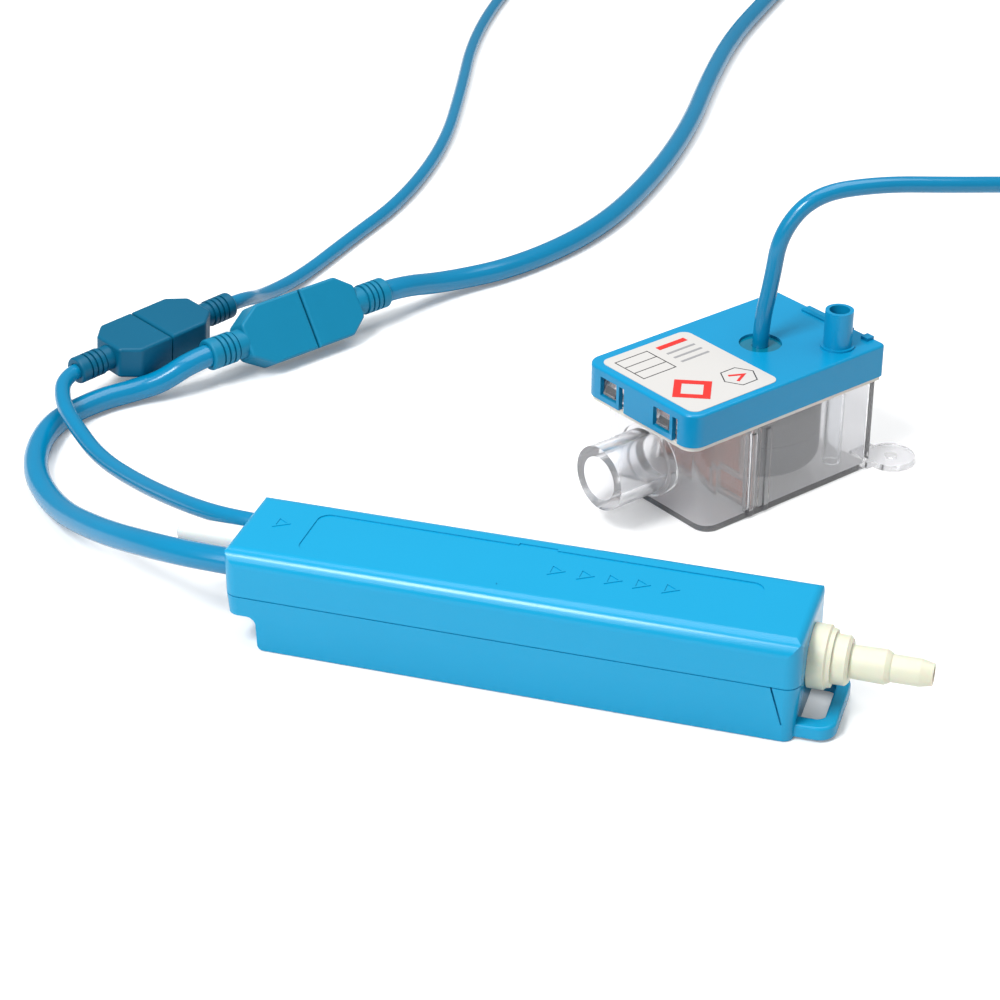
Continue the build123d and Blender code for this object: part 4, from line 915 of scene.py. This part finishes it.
# ------------------------------------------------------------------------------ reservoir
@dataclass
class Reservoir:
    """The clear tank, its lid, label, float and filter.  Own plan: +x from inlet to back wall."""

    origin: Plan = (31.232, 118.527)
    yaw: float = 55.458
    lid_top: float = 42.0
    label_rise: float = 0.15
    ink_rise: float = 0.03
    ink_sink: float = 0.02
    thin_line: float = 0.35
    rule_line: float = 0.9
    block_line: float = 2.0
    diamond_line: float = 2.3
    box_x: tuple[float, float] = (-33.5, -21.0)
    box_y: tuple[float, ...] = (3.5, 7.8, 12.1, 16.5)
    rule_x: tuple[float, float] = (-17.5, -6.5)
    rule_y: tuple[float, ...] = (5.0, 8.2, 11.4)
    block_y: float = 15.6
    hexagon: Point = (-10.5, -12.5, 5.6)
    diamond: Point = (-26.8, -10.2, 6.2)
    filter_x: float = -11.5
    filter_half: float = 19.7
    filter_low: float = 2.8
    filter_high: float = 28.6
    wire: float = 0.22
    wire_flatness: float = 0.6
    pitch: float = 1.15
    pitch_slack: float = 1e-6

    def build(self) -> None:
        """Dress the CAD nodes, print the label and weave the filter."""
        dress(("tank",), CLEAR_TANK)
        dress(("suction_tube",), CLEAR_TUBE)
        dress(("lid",), LID_BLUE)
        dress(("lid_gasket",), SEAL_CREAM)
        dress(("float_body",), FLOAT_GREY)
        dress(("float_magnet",), FERRITE)
        dress(("sensor_stem",), STEM_BLACK)
        dress(("stem_clip",), DRAWN_STEEL)
        dress(("cable_grommet",), GROMMET_TEAL)
        dress(("filter_frame",), FILTER_CLEAR)
        dress(("lid_label",), LABEL_WHITE)
        self.print_label()
        self.weave_filter()

    def to_row(self, points: np.ndarray) -> np.ndarray:
        """Turn the reservoir's own millimetres into metres in the row frame.

        Args:
            points: n by 3 array in the reservoir's frame.

        Returns:
            n by 3 array: origin + rotation by the yaw, heights kept.
        """
        return placed(points, self.yaw, self.origin) * MM

    def ink(self, name: str, figures: list[Figure], finish: Finish, layer: int) -> None:
        """Print flat figures on the label in one ink.

        Args:
            name: the piece's name.
            figures: plan points and faces of each figure.
            finish: the ink.
            layer: how many inks lie under it.
        """
        base = self.lid_top + self.label_rise
        rise = self.ink_rise * (layer + 1)
        solids = [raised(plan, faces, base - self.ink_sink, base + rise) for plan, faces in figures]
        points, faces = merge(solids)
        piece = mesh_piece(name, self.to_row(points), faces, smooth=False)
        finish_piece(piece, finish)

    @staticmethod
    def ring(x: float, y: float, radius: float, count: int) -> list[Plan]:
        """Points round a circle: centre + radius times (cos a, sin a)."""
        angles = np.linspace(0, 2 * math.pi, count, endpoint=False)
        return [(x + radius * math.cos(a), y + radius * math.sin(a)) for a in angles]

    @staticmethod
    def bar(ends: tuple[float, float], y: float, width: float) -> Figure:
        """A straight bar across the label, from one x to the other."""
        return stroke([(x, y) for x in ends], width)

    def print_label(self) -> None:
        """A plain made-up figure: a ruled box, a hexagon, three rules, a diamond and an arrow head."""
        left, right = self.box_x
        low, *rows, high = self.box_y
        box = [(left, low), (right, low), (right, high), (left, high)]
        black = [stroke(box, self.thin_line, closed=True)]
        black += [self.bar(self.box_x, y, self.thin_line) for y in rows]
        black.append(stroke(self.ring(*self.hexagon, 6), self.thin_line, closed=True))
        grey = [self.bar(self.rule_x, y, self.rule_line) for y in self.rule_y]
        x, y, reach = self.diamond
        diamond = [(x - reach, y), (x, y - reach), (x + reach, y), (x, y + reach)]
        red = [
            stroke(diamond, self.diamond_line, closed=True),
            stroke([(-12.8, -14.6), (-8.6, -12.5), (-12.8, -10.4)], self.rule_line),
            self.bar(self.rule_x, self.block_y, self.block_line),
        ]
        self.ink("label_ink_black", black, INK_BLACK, 0)
        self.ink("label_ink_grey", grey, INK_GREY, 1)
        self.ink("label_ink_red", red, INK_RED, 2)

    def weave_filter(self) -> None:
        """The filter cloth as crossed strands: upright wires, and level wires a little behind them."""
        across = np.arange(-self.filter_half, self.filter_half + self.pitch_slack, self.pitch)
        up = np.arange(self.filter_low, self.filter_high + self.pitch_slack, self.pitch)
        middle = (self.filter_low + self.filter_high) / 2
        tall = (self.filter_high - self.filter_low) / 2
        half = self.wire
        thin = half * self.wire_flatness
        count = len(across)
        upright = np.column_stack([np.full(count, self.filter_x - thin), across, np.full(count, middle)])
        level = np.column_stack([np.full(len(up), self.filter_x + thin), np.zeros(len(up)), up])
        centres = np.vstack([upright, level])
        halves = np.vstack([
            np.tile([thin, half, tall], (len(upright), 1)),
            np.tile([thin, self.filter_half, half], (len(level), 1)),
        ])
        points, faces = boxes_mesh(centres, halves)
        piece = mesh_piece("filter_cloth", self.to_row(points), faces, smooth=False)
        finish_piece(piece, FILTER_RED)
        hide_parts("filter_mesh")


def main() -> None:
    """Build the studio, then each sub-assembly, and log each one as it finishes."""
    logging.basicConfig(level=logging.INFO, format="%(name)s: %(message)s")
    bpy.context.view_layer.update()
    bpy.context.scene.view_settings.view_transform = "Standard"
    for assembly in (Studio(), Cables(), Pump(), Connectors(), Reservoir()):
        assembly.build()
        LOG.info("finished %s", type(assembly).__name__)


if __name__ == "__main__":
    main()
